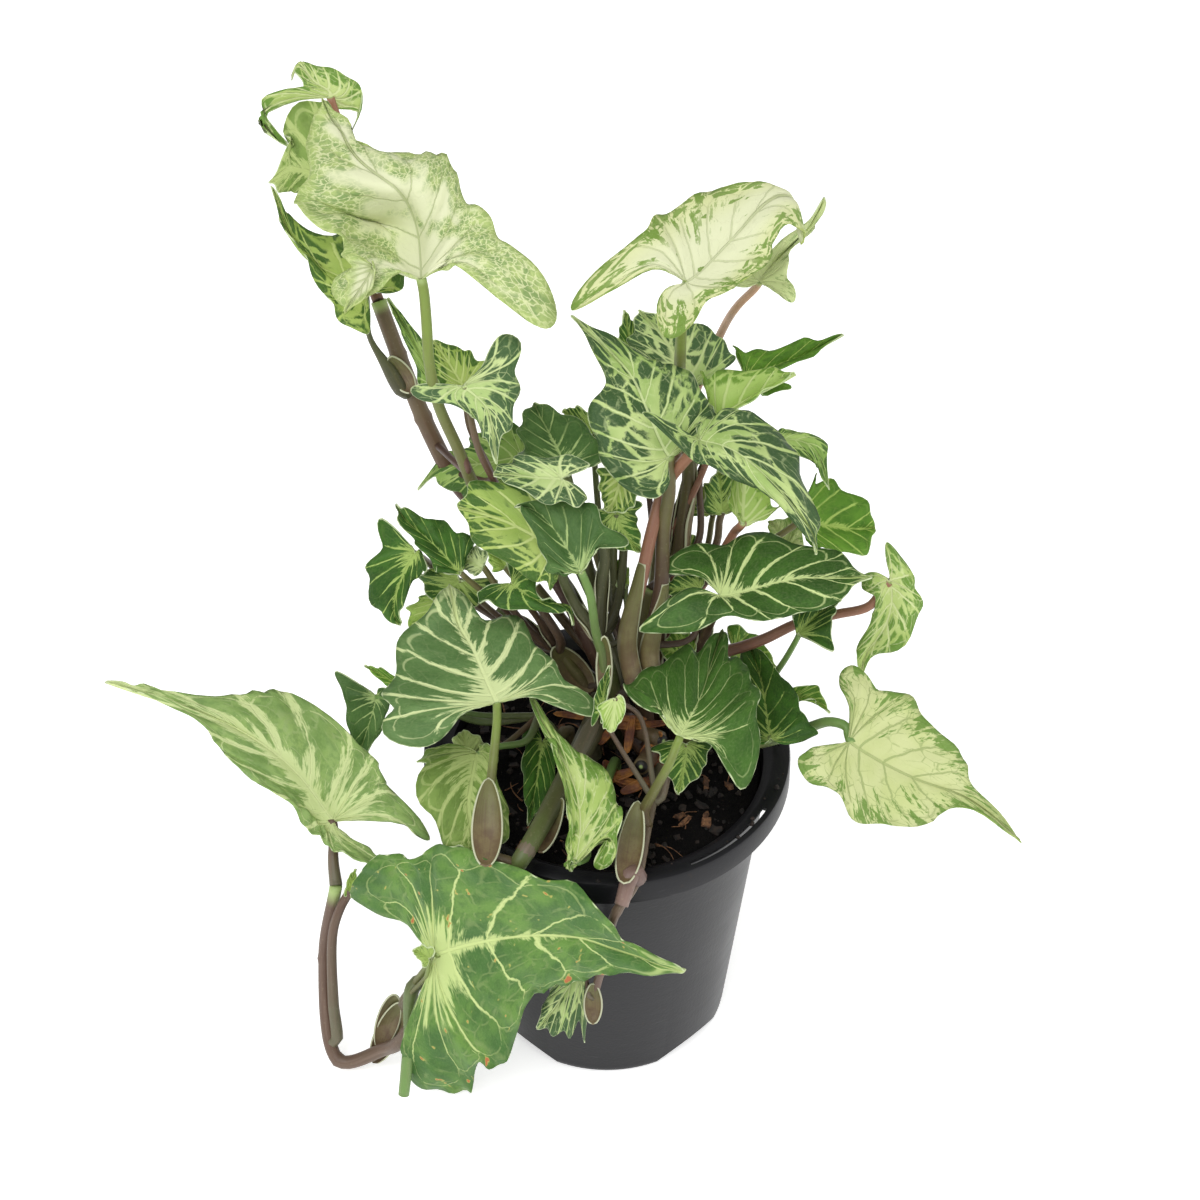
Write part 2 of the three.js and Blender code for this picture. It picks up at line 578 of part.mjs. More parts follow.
    stem: [[-2, -16, 18]],
    stalks: [
      { leaf: 'front_pale', radius: 1.3, route: [[-7, -28, 36], [-7, -38, 46]] },
    ],
  },
];


// ---- Layout board -------------------------------------------------------------------------

// Places on the plant are written on a layout board: a plane through the middle of the pot's rim
// that leans back to face a viewpoint 43 degrees above the front. A place is [across, up, out]:
// millimetres to the right and up the board, then out of it along the line to the viewpoint.
const BOARD_LEAN = THREE.MathUtils.degToRad(43);
const BOARD_ACROSS = new THREE.Vector3(1, 0, 0);
const BOARD_UP = new THREE.Vector3(0, Math.sin(BOARD_LEAN), Math.cos(BOARD_LEAN));
const BOARD_OUT = new THREE.Vector3(0, -Math.cos(BOARD_LEAN), Math.sin(BOARD_LEAN));
const VIEW_DISTANCE = 1400;
const VIEW_AIM = [-2.5, 53.1];

function onBoard(across, up) {
  return new THREE.Vector3(0, 0, POT_HEIGHT)
    .addScaledVector(BOARD_ACROSS, across)
    .addScaledVector(BOARD_UP, up);
}

const VIEWPOINT = onBoard(...VIEW_AIM).addScaledVector(BOARD_OUT, VIEW_DISTANCE);

function place([across, up, out]) {
  return onBoard(across, up).lerp(VIEWPOINT, out / VIEW_DISTANCE);
}

// ---- Solids -------------------------------------------------------------------------------

// A closed geometry as a manifold-3d solid.
function toSolid(geometry) {
  const bare = new THREE.BufferGeometry();
  bare.setAttribute('position', geometry.getAttribute('position'));
  bare.setIndex(geometry.index);
  const merged = mergeVertices(bare, 1e-4);
  const corners = [];
  for (let i = 0; i < merged.index.count; i += 3) {
    const [a, b, c] = [0, 1, 2].map((k) => merged.index.getX(i + k));
    if (a !== b && b !== c && c !== a) corners.push(a, b, c);
  }
  return new wasm.Manifold(
    new wasm.Mesh({
      numProp: 3,
      vertProperties: merged.attributes.position.array,
      triVerts: new Uint32Array(corners),
    }),
  );
}

// A manifold-3d solid as a geometry.
function toGeometry(solid) {
  const mesh = solid.getMesh();
  const geometry = new THREE.BufferGeometry();
  geometry.setAttribute('position', new THREE.BufferAttribute(mesh.vertProperties, 3));
  geometry.setIndex(new THREE.BufferAttribute(mesh.triVerts, 1));
  geometry.computeVertexNormals();
  return geometry;
}

function indexedGeometry(points, faces) {
  const geometry = new THREE.BufferGeometry().setFromPoints(points);
  geometry.setIndex(faces);
  return geometry;
}

// A lathe profile of [radius, height] pairs, turned about +Z.
function turned(profile, segments) {
  const points = profile.map(([radius, height]) => new THREE.Vector2(radius, height));
  return new THREE.LatheGeometry(points, segments).rotateX(Math.PI / 2);
}

// A closed tube through the points, tapering from one radius to the next.
function stalk(points, radii, sides = STALK_SIDES) {
  const route = new THREE.CatmullRomCurve3(points, false, 'centripetal');
  const steps = Math.max(3, Math.round(route.getLength() / STALK_STEP));
  const frames = route.computeFrenetFrames(steps);
  const taper = new THREE.SplineCurve(radii.map((radius, i) => new THREE.Vector2(i, radius)));
  const rings = [];
  const faces = [];
  for (let i = 0; i <= steps; i += 1) {
    const centre = route.getPointAt(i / steps);
    const radius = taper.getPoint(i / steps).y;
    for (let k = 0; k < sides; k += 1) {
      const angle = (2 * Math.PI * k) / sides;
      rings.push(
        centre
          .clone()
          .addScaledVector(frames.normals[i], radius * Math.cos(angle))
          .addScaledVector(frames.binormals[i], radius * Math.sin(angle)),
      );
    }
  }
  for (let i = 0; i < steps; i += 1) {
    for (let k = 0; k < sides; k += 1) {
      const a = i * sides + k;
      const b = i * sides + ((k + 1) % sides);
      faces.push(a, b, b + sides, a, b + sides, a + sides);
    }
  }
  const last = steps * sides;
  for (let k = 1; k < sides - 1; k += 1) {
    faces.push(0, k + 1, k, last, last + k, last + k + 1);
  }
  return indexedGeometry(rings, faces);
}

// ---- Leaf blades --------------------------------------------------------------------------

// Half of an arrowhead blade laid flat: the seat of the stalk is at 0,0 and the tip at 0,1.
const HALF_OUTLINE = new THREE.SplineCurve(
  [
    [0.05, -0.1],
    [0.15, -0.3],
    [0.3, -0.42],
    [0.41, -0.27],
    [0.38, -0.05],
    [0.41, 0.13],
    [0.37, 0.34],
    [0.26, 0.58],
    [0.13, 0.8],
    [0.035, 0.94],
    [0, 1],
  ].map(([x, y]) => new THREE.Vector2(x, y)),
);

// Where each named pin of a leaf sits on the flat blade.
const PIN_SPOTS = {
  seat: [0, 0],
  mid: [0, 0.5],
  neck: [0, 0.84],
  tip: [0, 1],
  left: [-0.4, 0.15],
  right: [0.4, 0.15],
  leftFar: [-0.27, 0.52],
  rightFar: [0.27, 0.52],
  leftLobe: [-0.3, -0.42],
  rightLobe: [0.3, -0.42],
  leftHip: [-0.41, -0.2],
  rightHip: [0.41, -0.2],
  leftNotch: [-0.1, -0.2],
  rightNotch: [0.1, -0.2],
  leftNeck: [-0.1, 0.85],
  rightNeck: [0.1, 0.85],
};

// The side veins leave the midrib from halfway along the outline's run.
const VEIN_START = 0.5;
const VEIN_RISE = 1.3;

// A point of one half of the flat blade: `run` goes round the outline from the notch to the tip,
// `reach` goes out along a vein from the midrib to the edge.
function bladePoint(side, run, reach) {
  const edge = HALF_OUTLINE.getPoint(run);
  const root = Math.max(0, (run - VEIN_START) / (1 - VEIN_START)) ** VEIN_RISE;
  const bend = new THREE.Vector2(0.55 * edge.x, root + 0.35 * (edge.y - root));
  const keep = 1 - reach;
  const x = 2 * keep * reach * bend.x + reach * reach * edge.x;
  const y = keep * keep * root + 2 * keep * reach * bend.y + reach * reach * edge.y;
  return [side * x, y];
}

function solveLinear(matrix, values) {
  const n = matrix.length;
  const rows = matrix.map((row, i) => [...row, ...values[i]]);
  for (let i = 0; i < n; i += 1) {
    let best = i;
    for (let k = i + 1; k < n; k += 1) {
      if (Math.abs(rows[k][i]) > Math.abs(rows[best][i])) best = k;
    }
    [rows[i], rows[best]] = [rows[best], rows[i]];
    for (let k = 0; k < n; k += 1) {
      if (k === i) continue;
      const share = rows[k][i] / rows[i][i];
      for (let j = i; j < rows[k].length; j += 1) rows[k][j] -= share * rows[i][j];
    }
  }
  return rows.map((row, i) => row.slice(n).map((value) => value / row[i]));
}

const plate = (dx, dy) => {
  const square = dx * dx + dy * dy;
  return square > 0 ? square * Math.log(square) : 0;
};

// A thin sheet bent through a leaf's pins: a function from the flat blade to the plant.
function bentSheet(pins) {
  const names = Object.keys(pins);
  const spots = names.map((name) => PIN_SPOTS[name]);
  const targets = names.map((name) => place(pins[name]).toArray());
  const size = spots.length + 3;
  const matrix = Array.from({ length: size }, () => new Array(size).fill(0));
  spots.forEach(([x, y], i) => {
    spots.forEach(([u, v], j) => {
      matrix[i][j] = plate(x - u, y - v);
    });
    [1, x, y].forEach((value, k) => {
      matrix[i][spots.length + k] = value;
      matrix[spots.length + k][i] = value;
    });
  });
  const weights = solveLinear(matrix, [...targets, ...Array(3).fill([0, 0, 0])]);
  return ([x, y]) => {
    const terms = [...spots.map(([u, v]) => plate(x - u, y - v)), 1, x, y];
    const sums = [0, 1, 2].map((axis) =>
      terms.reduce((sum, term, i) => sum + term * weights[i][axis], 0),
    );
    return new THREE.Vector3(...sums);
  };
}

const NUDGE = 0.01;

// The upper side's direction at a spot of the sheet.
function sheetNormal(sheet, [x, y]) {
  const across = sheet([x + NUDGE, y]).sub(sheet([x - NUDGE, y]));
  const along = sheet([x, y + NUDGE]).sub(sheet([x, y - NUDGE]));
  return across.cross(along).normalize();
}

const EDGE_RIPPLES = 2.5;

// The upper surface: the bent sheet, with its edges lifted by `cup` and waved by `wave`.
function bladeSurface(leaf) {
  const sheet = bentSheet(leaf.pins);
  return (side, run, reach) => {
    const spot = bladePoint(side, run, reach);
    const ripple = Math.sin(2 * Math.PI * (EDGE_RIPPLES * run + (side > 0 ? 0.1 : 0.55)));
    const lift = leaf.cup * reach * (1 - reach * 0.4) + leaf.wave * ripple * reach * reach;
    const ends = Math.sin(Math.PI * Math.min(1, Math.max(0, run))) ** 0.5;
    return sheet(spot).addScaledVector(sheetNormal(sheet, spot), lift * ends);
  };
}

// A blade as a closed solid: the same triangles above and below, and a strip round the edge.
function bladeGeometry(leaf) {
  const surface = bladeSurface(leaf);
  const { rows, columns } = LEAF_GRIDS[leaf.grid];
  const upper = [];
  const faces = [];
  const add = (point) => upper.push(point) - 1;
  const seat = add(surface(1, 0, 0));
  const midrib = rows.map((run) => (run > VEIN_START ? add(surface(1, run, 0)) : seat));
  const tip = add(surface(1, 1, 0));
  const rims = [1, -1].map((side) => {
    const grid = rows.map((run, i) => {
      const row = [midrib[i]];
      for (let j = 1; j <= columns; j += 1) row.push(add(surface(side, run, j / columns)));
      return row;
    });
    grid.push(new Array(columns + 1).fill(tip));
    for (let i = 0; i < rows.length; i += 1) {
      for (let j = 0; j < columns; j += 1) {
        const [a, b, c, d] = [grid[i][j], grid[i][j + 1], grid[i + 1][j + 1], grid[i + 1][j]];
        faces.push(side > 0 ? [a, b, c] : [a, c, b]);
        if (a !== d && c !== d) faces.push(side > 0 ? [a, c, d] : [a, d, c]);
      }
    }
    return [...grid[0].slice(1), ...grid.slice(1, -1).map((row) => row[columns])];
  });
  const loop = [seat, ...rims[0], tip, ...rims[1].reverse()];
  return thickened(upper, faces, loop);
}

// The solid between a sheet of triangles and its copy, a blade's thickness below.
function thickened(upper, faces, loop) {
  const sheet = indexedGeometry(upper, faces.flat());
  sheet.computeVertexNormals();
  const normals = sheet.getAttribute('normal');
  const lower = upper.map((point, i) =>
    point.clone().addScaledVector(new THREE.Vector3().fromBufferAttribute(normals, i), -BLADE_THICKNESS),
  );
  const count = upper.length;
  const below = faces.map(([a, b, c]) => [c + count, b + count, a + count]);
  const strip = loop.flatMap((from, i) => {
    const to = loop[(i + 1) % loop.length];
    return [
      [from + count, to + count, to],
      [from + count, to, from],
    ];
  });
  return indexedGeometry([...upper, ...lower], [...faces, ...below, ...strip].flat());
}

// ---- Stems and stalks ---------------------------------------------------------------------

const STALK_TIP_RADIUS = 0.5;
const SEAT_SPOT = [0, 0.03];

// Where a leaf's stalk ends, just under its seat, and the place below that it comes up from.
function stalkEnd(leaf) {
  const sheet = bentSheet(leaf.pins);
  const seat = sheet(SEAT_SPOT);
  const under = sheetNormal(sheet, SEAT_SPOT).negate();
  const along = sheet([0, 0.1]).sub(seat).normalize();
  return [
    seat.clone().addScaledVector(under, 6).addScaledVector(along, -3),
    seat.clone().addScaledVector(under, BLADE_THICKNESS + FIT_GAP),
  ];
}

function nearestOn(route, point) {
  const spots = route.getSpacedPoints(60);
  return spots.reduce((best, spot) => (spot.distanceTo(point) < best.distanceTo(point) ? spot : best));
}

// A shoot: its stem from the soil up or over the rim, joined with the stalks of its leaves.
function shootGeometry(shoot) {
  const [x, y] = shoot.foot;
  const heights = [SHOOT_FOOT_Z, SOIL_LEVEL + 1, SOIL_LEVEL + 7];
  const stemPoints = [...heights.map((z) => new THREE.Vector3(x, y, z)), ...shoot.stem.map(place)];
  const stem = new THREE.CatmullRomCurve3(stemPoints, false, 'centripetal');
  let solid = toSolid(stalk(stemPoints, [shoot.girth, shoot.girth * 0.95, shoot.girth * 0.7]));
  for (const { leaf, radius, sheath = radius * 1.25, route } of shoot.stalks) {
    const way = route.map(place);
    const start = nearestOn(stem, way[0]);
    const points = [start, ...way, ...stalkEnd(LEAVES[leaf])];
    const piece = toSolid(stalk(points, [sheath, sheath * 0.9, radius, radius * 0.85, STALK_TIP_RADIUS]));
    solid = solid.add(piece);
  }
  for (const bract of shoot.bracts ?? []) solid = solid.add(toSolid(bractGeometry(bract)));
  return toGeometry(solid.simplify(SLIVER));
}

// The boat-shaped sheath of a young leaf, lying along the stem between two places.
function bractGeometry({ from, to, width }) {
  const [low, high] = [place(from), place(to)];
  const length = low.distanceTo(high);
  const turn = new THREE.Quaternion().setFromUnitVectors(
    new THREE.Vector3(0, 0, 1),
    high.clone().sub(low).normalize(),
  );
  return new THREE.SphereGeometry(1, 8, 6)
    .rotateX(Math.PI / 2)
    .scale(width / 2, width / 2, length / 2)
    .applyQuaternion(turn)
    .translate(...low.lerp(high, 0.5).toArray());
}

// ---- Pot and soil -------------------------------------------------------------------------

function potGeometry() {
  const profile = [
    [0, 0],
    [BASE_RADIUS - 2.5, 0],
    [BASE_RADIUS - 0.6, 1],
    [BASE_RADIUS, 3],
    [WALL_TOP_RADIUS, POT_HEIGHT - RIM_SKIRT - 1],
    [WALL_TOP_RADIUS + 1, POT_HEIGHT - WALL],
    [RIM_RADIUS - WALL, POT_HEIGHT - WALL],
    [RIM_RADIUS - WALL, POT_HEIGHT - RIM_SKIRT],
    [RIM_RADIUS, POT_HEIGHT - RIM_SKIRT],
    [RIM_RADIUS, POT_HEIGHT - 0.6],
    [RIM_RADIUS - 0.6, POT_HEIGHT],
    [FLANGE_INNER_RADIUS, POT_HEIGHT],
    [WALL_TOP_RADIUS - WALL, POT_HEIGHT - 3],
    [BASE_RADIUS - WALL - 1, FOOT_RING_HEIGHT],
    [FOOT_RING_INNER_RADIUS + 1, FOOT_RING_HEIGHT],
    [FOOT_RING_INNER_RADIUS, WALL + 0.5],
    [0, WALL + 0.5],
  ];
  let pot = toSolid(turned(profile, POT_SEGMENTS));
  for (let k = 0; k < 4; k += 1) {
    const angle = ((k + 0.5) * Math.PI) / 2;
    for (const cutter of [footArch(), drainHole(), rimSlot()]) {
      pot = pot.subtract(toSolid(cutter.rotateZ(angle)));
    }
  }
  return toGeometry(pot);
}

// One of the four low arches between the feet, across the +X side.
function footArch() {
  const radius = (ARCH_WIDTH ** 2 / 4 + ARCH_HEIGHT ** 2) / (2 * ARCH_HEIGHT);
  const depth = BASE_RADIUS + 5 - (FOOT_RING_INNER_RADIUS + 2.5);
  return new THREE.CylinderGeometry(radius, radius, depth, 64)
    .rotateZ(Math.PI / 2)
    .translate(FOOT_RING_INNER_RADIUS + 2.5 + depth / 2, 0, ARCH_HEIGHT - radius);
}

function drainHole() {
  return new THREE.CylinderGeometry(DRAIN_RADIUS, DRAIN_RADIUS, 10, 10)
    .rotateX(Math.PI / 2)
    .translate(DRAIN_CIRCLE, 0, 0);
}

// A long slot through the rim's flat top, about the +X side.
function rimSlot() {
  const half = THREE.MathUtils.degToRad(SLOT_SPAN / 2);
  const shape = new THREE.Shape();
  shape.absarc(0, 0, SLOT_RADIUS + SLOT_WIDTH / 2, -half, half, false);
  shape.absarc(0, 0, SLOT_RADIUS - SLOT_WIDTH / 2, half, -half, true);
  return new THREE.ExtrudeGeometry(shape, { depth: 6, bevelEnabled: false, curveSegments: 5 }).translate(
    0,
    0,
    POT_HEIGHT - 3,
  );
}

// A repeatable draw between 0 and 1 for the n-th item.
function draw(n, salt) {
  const value = Math.sin(n * 127.1 + salt * 311.7) * 43758.5453;
  return value - Math.floor(value);
}

function soilHeight(x, y) {
  const lumps = Math.sin(x * 0.31 + 1.3) * Math.sin(y * 0.27 + 0.4) + 0.6 * Math.sin(x * 0.11 - y * 0.17);
  return SOIL_LEVEL + SOIL_ROUGHNESS * lumps;
}

// The potting mix fills the pot: a lumpy top, with a hole for each shoot and bark chips on it.
function soilGeometry() {
  const inset = WALL + 2 * FIT_GAP;
  const slope = (WALL_TOP_RADIUS - BASE_RADIUS) / (POT_HEIGHT - RIM_SKIRT - 2.5);
  const topRadius = BASE_RADIUS + slope * SOIL_LEVEL - inset - 1;
  const rings = [0.22, 0.45, 0.66, 0.84, 1].map((share) => share * topRadius);
  const profile = [
    [BASE_RADIUS - inset - 1.6, FOOT_RING_HEIGHT + FIT_GAP],
    [FOOT_RING_INNER_RADIUS - FIT_GAP, FOOT_RING_HEIGHT + FIT_GAP],
    [FOOT_RING_INNER_RADIUS - FIT_GAP, WALL + 0.5 + FIT_GAP],
  ];
  const points = [new THREE.Vector3(0, 0, soilHeight(0, 0))];
  const addRing = (radius, height) => {
    for (let k = 0; k < SOIL_SEGMENTS; k += 1) {
      const angle = (2 * Math.PI * k) / SOIL_SEGMENTS;
      const x = radius * Math.cos(angle);
      const y = radius * Math.sin(angle);
      points.push(new THREE.Vector3(x, y, height ?? soilHeight(x, y)));
    }
  };
  rings.forEach((radius) => addRing(radius));
  profile.forEach(([radius, height]) => addRing(radius, height));
  const last = points.push(new THREE.Vector3(0, 0, WALL + 0.5 + FIT_GAP)) - 1;
  const faces = [];
  const ringCount = rings.length + profile.length;
  for (let k = 0; k < SOIL_SEGMENTS; k += 1) {
    const next = (k + 1) % SOIL_SEGMENTS;
    faces.push(0, 1 + k, 1 + next);
    for (let i = 0; i < ringCount - 1; i += 1) {
      const [a, b] = [1 + i * SOIL_SEGMENTS + k, 1 + i * SOIL_SEGMENTS + next];
      faces.push(a, a + SOIL_SEGMENTS, b + SOIL_SEGMENTS, a, b + SOIL_SEGMENTS, b);
    }
    const base = 1 + (ringCount - 1) * SOIL_SEGMENTS;
    faces.push(base + k, last, base + next);
  }
  let soil = toSolid(indexedGeometry(points, faces));
  for (let n = 0; n < BARK_CHIPS; n += 1) {
    const chip = barkChip(n, topRadius);
    if (chip) soil = soil.add(toSolid(chip));
  }
  for (const { foot, girth } of SHOOTS) {
    soil = soil.subtract(toSolid(shootHole(foot, girth)));
  }
  return toGeometry(soil);
}

const CHIP_CLEARANCE = 10;

// A chip of bark half sunk in the soil, or none where a shoot stands.
function barkChip(n, reach) {
  const angle = 2 * Math.PI * draw(n, 1);
  const radius = (reach - 8) * Math.sqrt(0.25 + 0.75 * draw(n, 2));
  const [x, y] = [radius * Math.cos(angle), radius * Math.sin(angle)];
  const near = SHOOTS.some(({ foot }) => Math.hypot(foot[0] - x, foot[1] - y) < CHIP_CLEARANCE);
  if (near) return null;
  return new THREE.BoxGeometry(4 + 5 * draw(n, 3), 2.5 + 2 * draw(n, 4), 2.8)
    .rotateX(0.5 * (draw(n, 5) - 0.5))
    .rotateZ(Math.PI * draw(n, 6))
    .translate(x, y, soilHeight(x, y) - 0.5);
}

function shootHole([x, y], girth) {
  const depth = 40;
  const radius = girth / Math.cos(Math.PI / 12) + FIT_GAP;
  return new THREE.CylinderGeometry(radius, radius, depth, 12)
    .rotateX(Math.PI / 2)
    .translate(x, y, SHOOT_FOOT_Z - FIT_GAP + depth / 2);
}

// ---- Assembly -----------------------------------------------------------------------------

function piece(name, geometry, finish) {
  const material = new THREE.MeshStandardMaterial({ ...FINISHES[finish], metalness: 0 });
  const mesh = new THREE.Mesh(geometry, material);
  mesh.name = name;
  return mesh;
}

const plant = new THREE.Group();
plant.name = 'potted_arrowhead_plant';
plant.add(piece('nursery_pot', potGeometry(), 'pot'));
plant.add(piece('potting_soil', soilGeometry(), 'soil'));
for (const shoot of SHOOTS) plant.add(piece(shoot.name, shootGeometry(shoot), shoot.finish));
for (const [name, leaf] of Object.entries(LEAVES)) {
  plant.add(piece(`leaf_${name}`, bladeGeometry(leaf), leaf.finish));
}

export default plant;
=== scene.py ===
"""Arrowhead plant in a nursery pot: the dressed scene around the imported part."""

from __future__ import annotations

import json
import logging
import math
from dataclasses import dataclass
from enum import Enum
from typing import Any, Callable, Iterable, Sequence

import bpy
import numpy as np
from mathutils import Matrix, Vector

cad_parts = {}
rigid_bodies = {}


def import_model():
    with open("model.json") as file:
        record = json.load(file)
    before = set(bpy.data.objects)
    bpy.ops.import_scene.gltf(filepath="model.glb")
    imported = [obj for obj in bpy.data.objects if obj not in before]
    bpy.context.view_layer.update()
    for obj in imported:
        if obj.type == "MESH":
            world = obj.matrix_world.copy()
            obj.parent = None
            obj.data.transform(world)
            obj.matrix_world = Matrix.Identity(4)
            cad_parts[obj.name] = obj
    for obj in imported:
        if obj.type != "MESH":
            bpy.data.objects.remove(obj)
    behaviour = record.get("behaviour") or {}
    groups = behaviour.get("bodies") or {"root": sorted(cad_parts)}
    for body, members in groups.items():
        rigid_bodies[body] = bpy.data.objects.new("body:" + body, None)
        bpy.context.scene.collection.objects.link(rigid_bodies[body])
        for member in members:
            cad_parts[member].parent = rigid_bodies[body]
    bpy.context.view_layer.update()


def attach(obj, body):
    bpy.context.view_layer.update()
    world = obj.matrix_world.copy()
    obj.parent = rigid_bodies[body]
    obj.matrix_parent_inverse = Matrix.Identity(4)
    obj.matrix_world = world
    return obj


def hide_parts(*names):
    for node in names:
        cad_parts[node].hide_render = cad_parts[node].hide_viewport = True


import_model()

log = logging.getLogger("plant")
logging.basicConfig(level=logging.INFO, format="%(name)s: %(message)s")

MM = 0.001
SOIL_LEVEL = 116.5
FULL_TURN = 2 * math.pi

Place = tuple[float, float, float]
Rgb = tuple[float, float, float]
Array = np.ndarray
Piece = bpy.types.Object
Material = bpy.types.Material


# ---- Layout board -----------------------------------------------------------------------


@dataclass(frozen=True)
class Board:
    """The leaning plane that every place on the plant is written on, in millimetres."""

    rim_height: float = 124.0
    lean: float = math.radians(43.0)
    distance: float = 1400.0
    aim: tuple[float, float] = (-2.5, 53.1)

    @property
    def up(self) -> Array:
        """The board's own upward direction."""
        return np.array([0.0, math.sin(self.lean), math.cos(self.lean)])

    @property
    def out(self) -> Array:
        """The direction out of the board, towards the viewpoint."""
        return np.array([0.0, -math.cos(self.lean), math.sin(self.lean)])

    @property
    def viewpoint(self) -> Array:
        """The point that depths are measured towards, in millimetres."""
        return self._flat(*self.aim) + self.distance * self.out

    def _flat(self, across: float, up: float) -> Array:
        """A point of the board itself."""
        return np.array([across, 0.0, self.rim_height]) + up * self.up

    def place(self, spot: Sequence[float]) -> Array:
        """The point of the part at millimetres across, up and out of the board."""
        flat = self._flat(spot[0], spot[1])
        return flat + (self.viewpoint - flat) * (spot[2] / self.distance)


BOARD = Board()


def way_of(text: str) -> list[Place]:
    """Reads a route: three numbers for each place on the board."""
    numbers = list(map(float, text.split()))
    return [tuple(numbers[k : k + 3]) for k in range(0, len(numbers), 3)]


def options_of(words: Iterable[str]) -> dict[str, Any]:
    """Reads options such as frill=1.4 or loose=true."""
    return {key: json.loads(value) for key, value in (word.split("=") for word in words)}


# ---- Shader kit -------------------------------------------------------------------------


class Value:
    """A shader socket that adds Math nodes when it is used in an expression."""

    def __init__(self, shader: Shader, socket: Any) -> None:
        """Wraps a socket of one shader."""
        self.shader = shader
        self.socket = socket

    def math(self, operation: str, *inputs: Value | float) -> Value:
        """Adds a Math node on the given values."""
        return self.shader.node("ShaderNodeMath", {"operation": operation}, dict(enumerate(inputs)))

    def fraction(self) -> Value:
        """The part after the decimal point."""
        return self.math("FRACT", self)

    def step(self, low: Value | float, high: Value | float) -> Value:
        """Goes smoothly from 0 at `low` to 1 at `high`."""
        inputs = {"Value": self, "From Min": low, "From Max": high}
        return self.shader.node("ShaderNodeMapRange", {"interpolation_type": "SMOOTHSTEP"}, inputs)

    def line(self, width: Value | float, soft: Value | float) -> Value:
        """1 on a line where this distance is under `width`, fading over `soft`."""
        return 1.0 - self.step(width, width + soft)


def _forward(operation: str) -> Callable[..., Value]:
    """A method that adds a Math node with this value first."""
    return lambda self, *other: self.math(operation, self, *other)


def _backward(operation: str) -> Callable[..., Value]:
    """A method that adds a Math node with this value last."""
    return lambda self, other: self.math(operation, other, self)


for sign, operation in (("add", "ADD"), ("sub", "SUBTRACT"), ("mul", "MULTIPLY"), ("truediv", "DIVIDE")):
    setattr(Value, f"__{sign}__", _forward(operation))
    setattr(Value, f"__r{sign}__", _backward(operation))
Value.__abs__ = _forward("ABSOLUTE")
Value.at_most = _forward("MINIMUM")
Value.at_least = _forward("MAXIMUM")


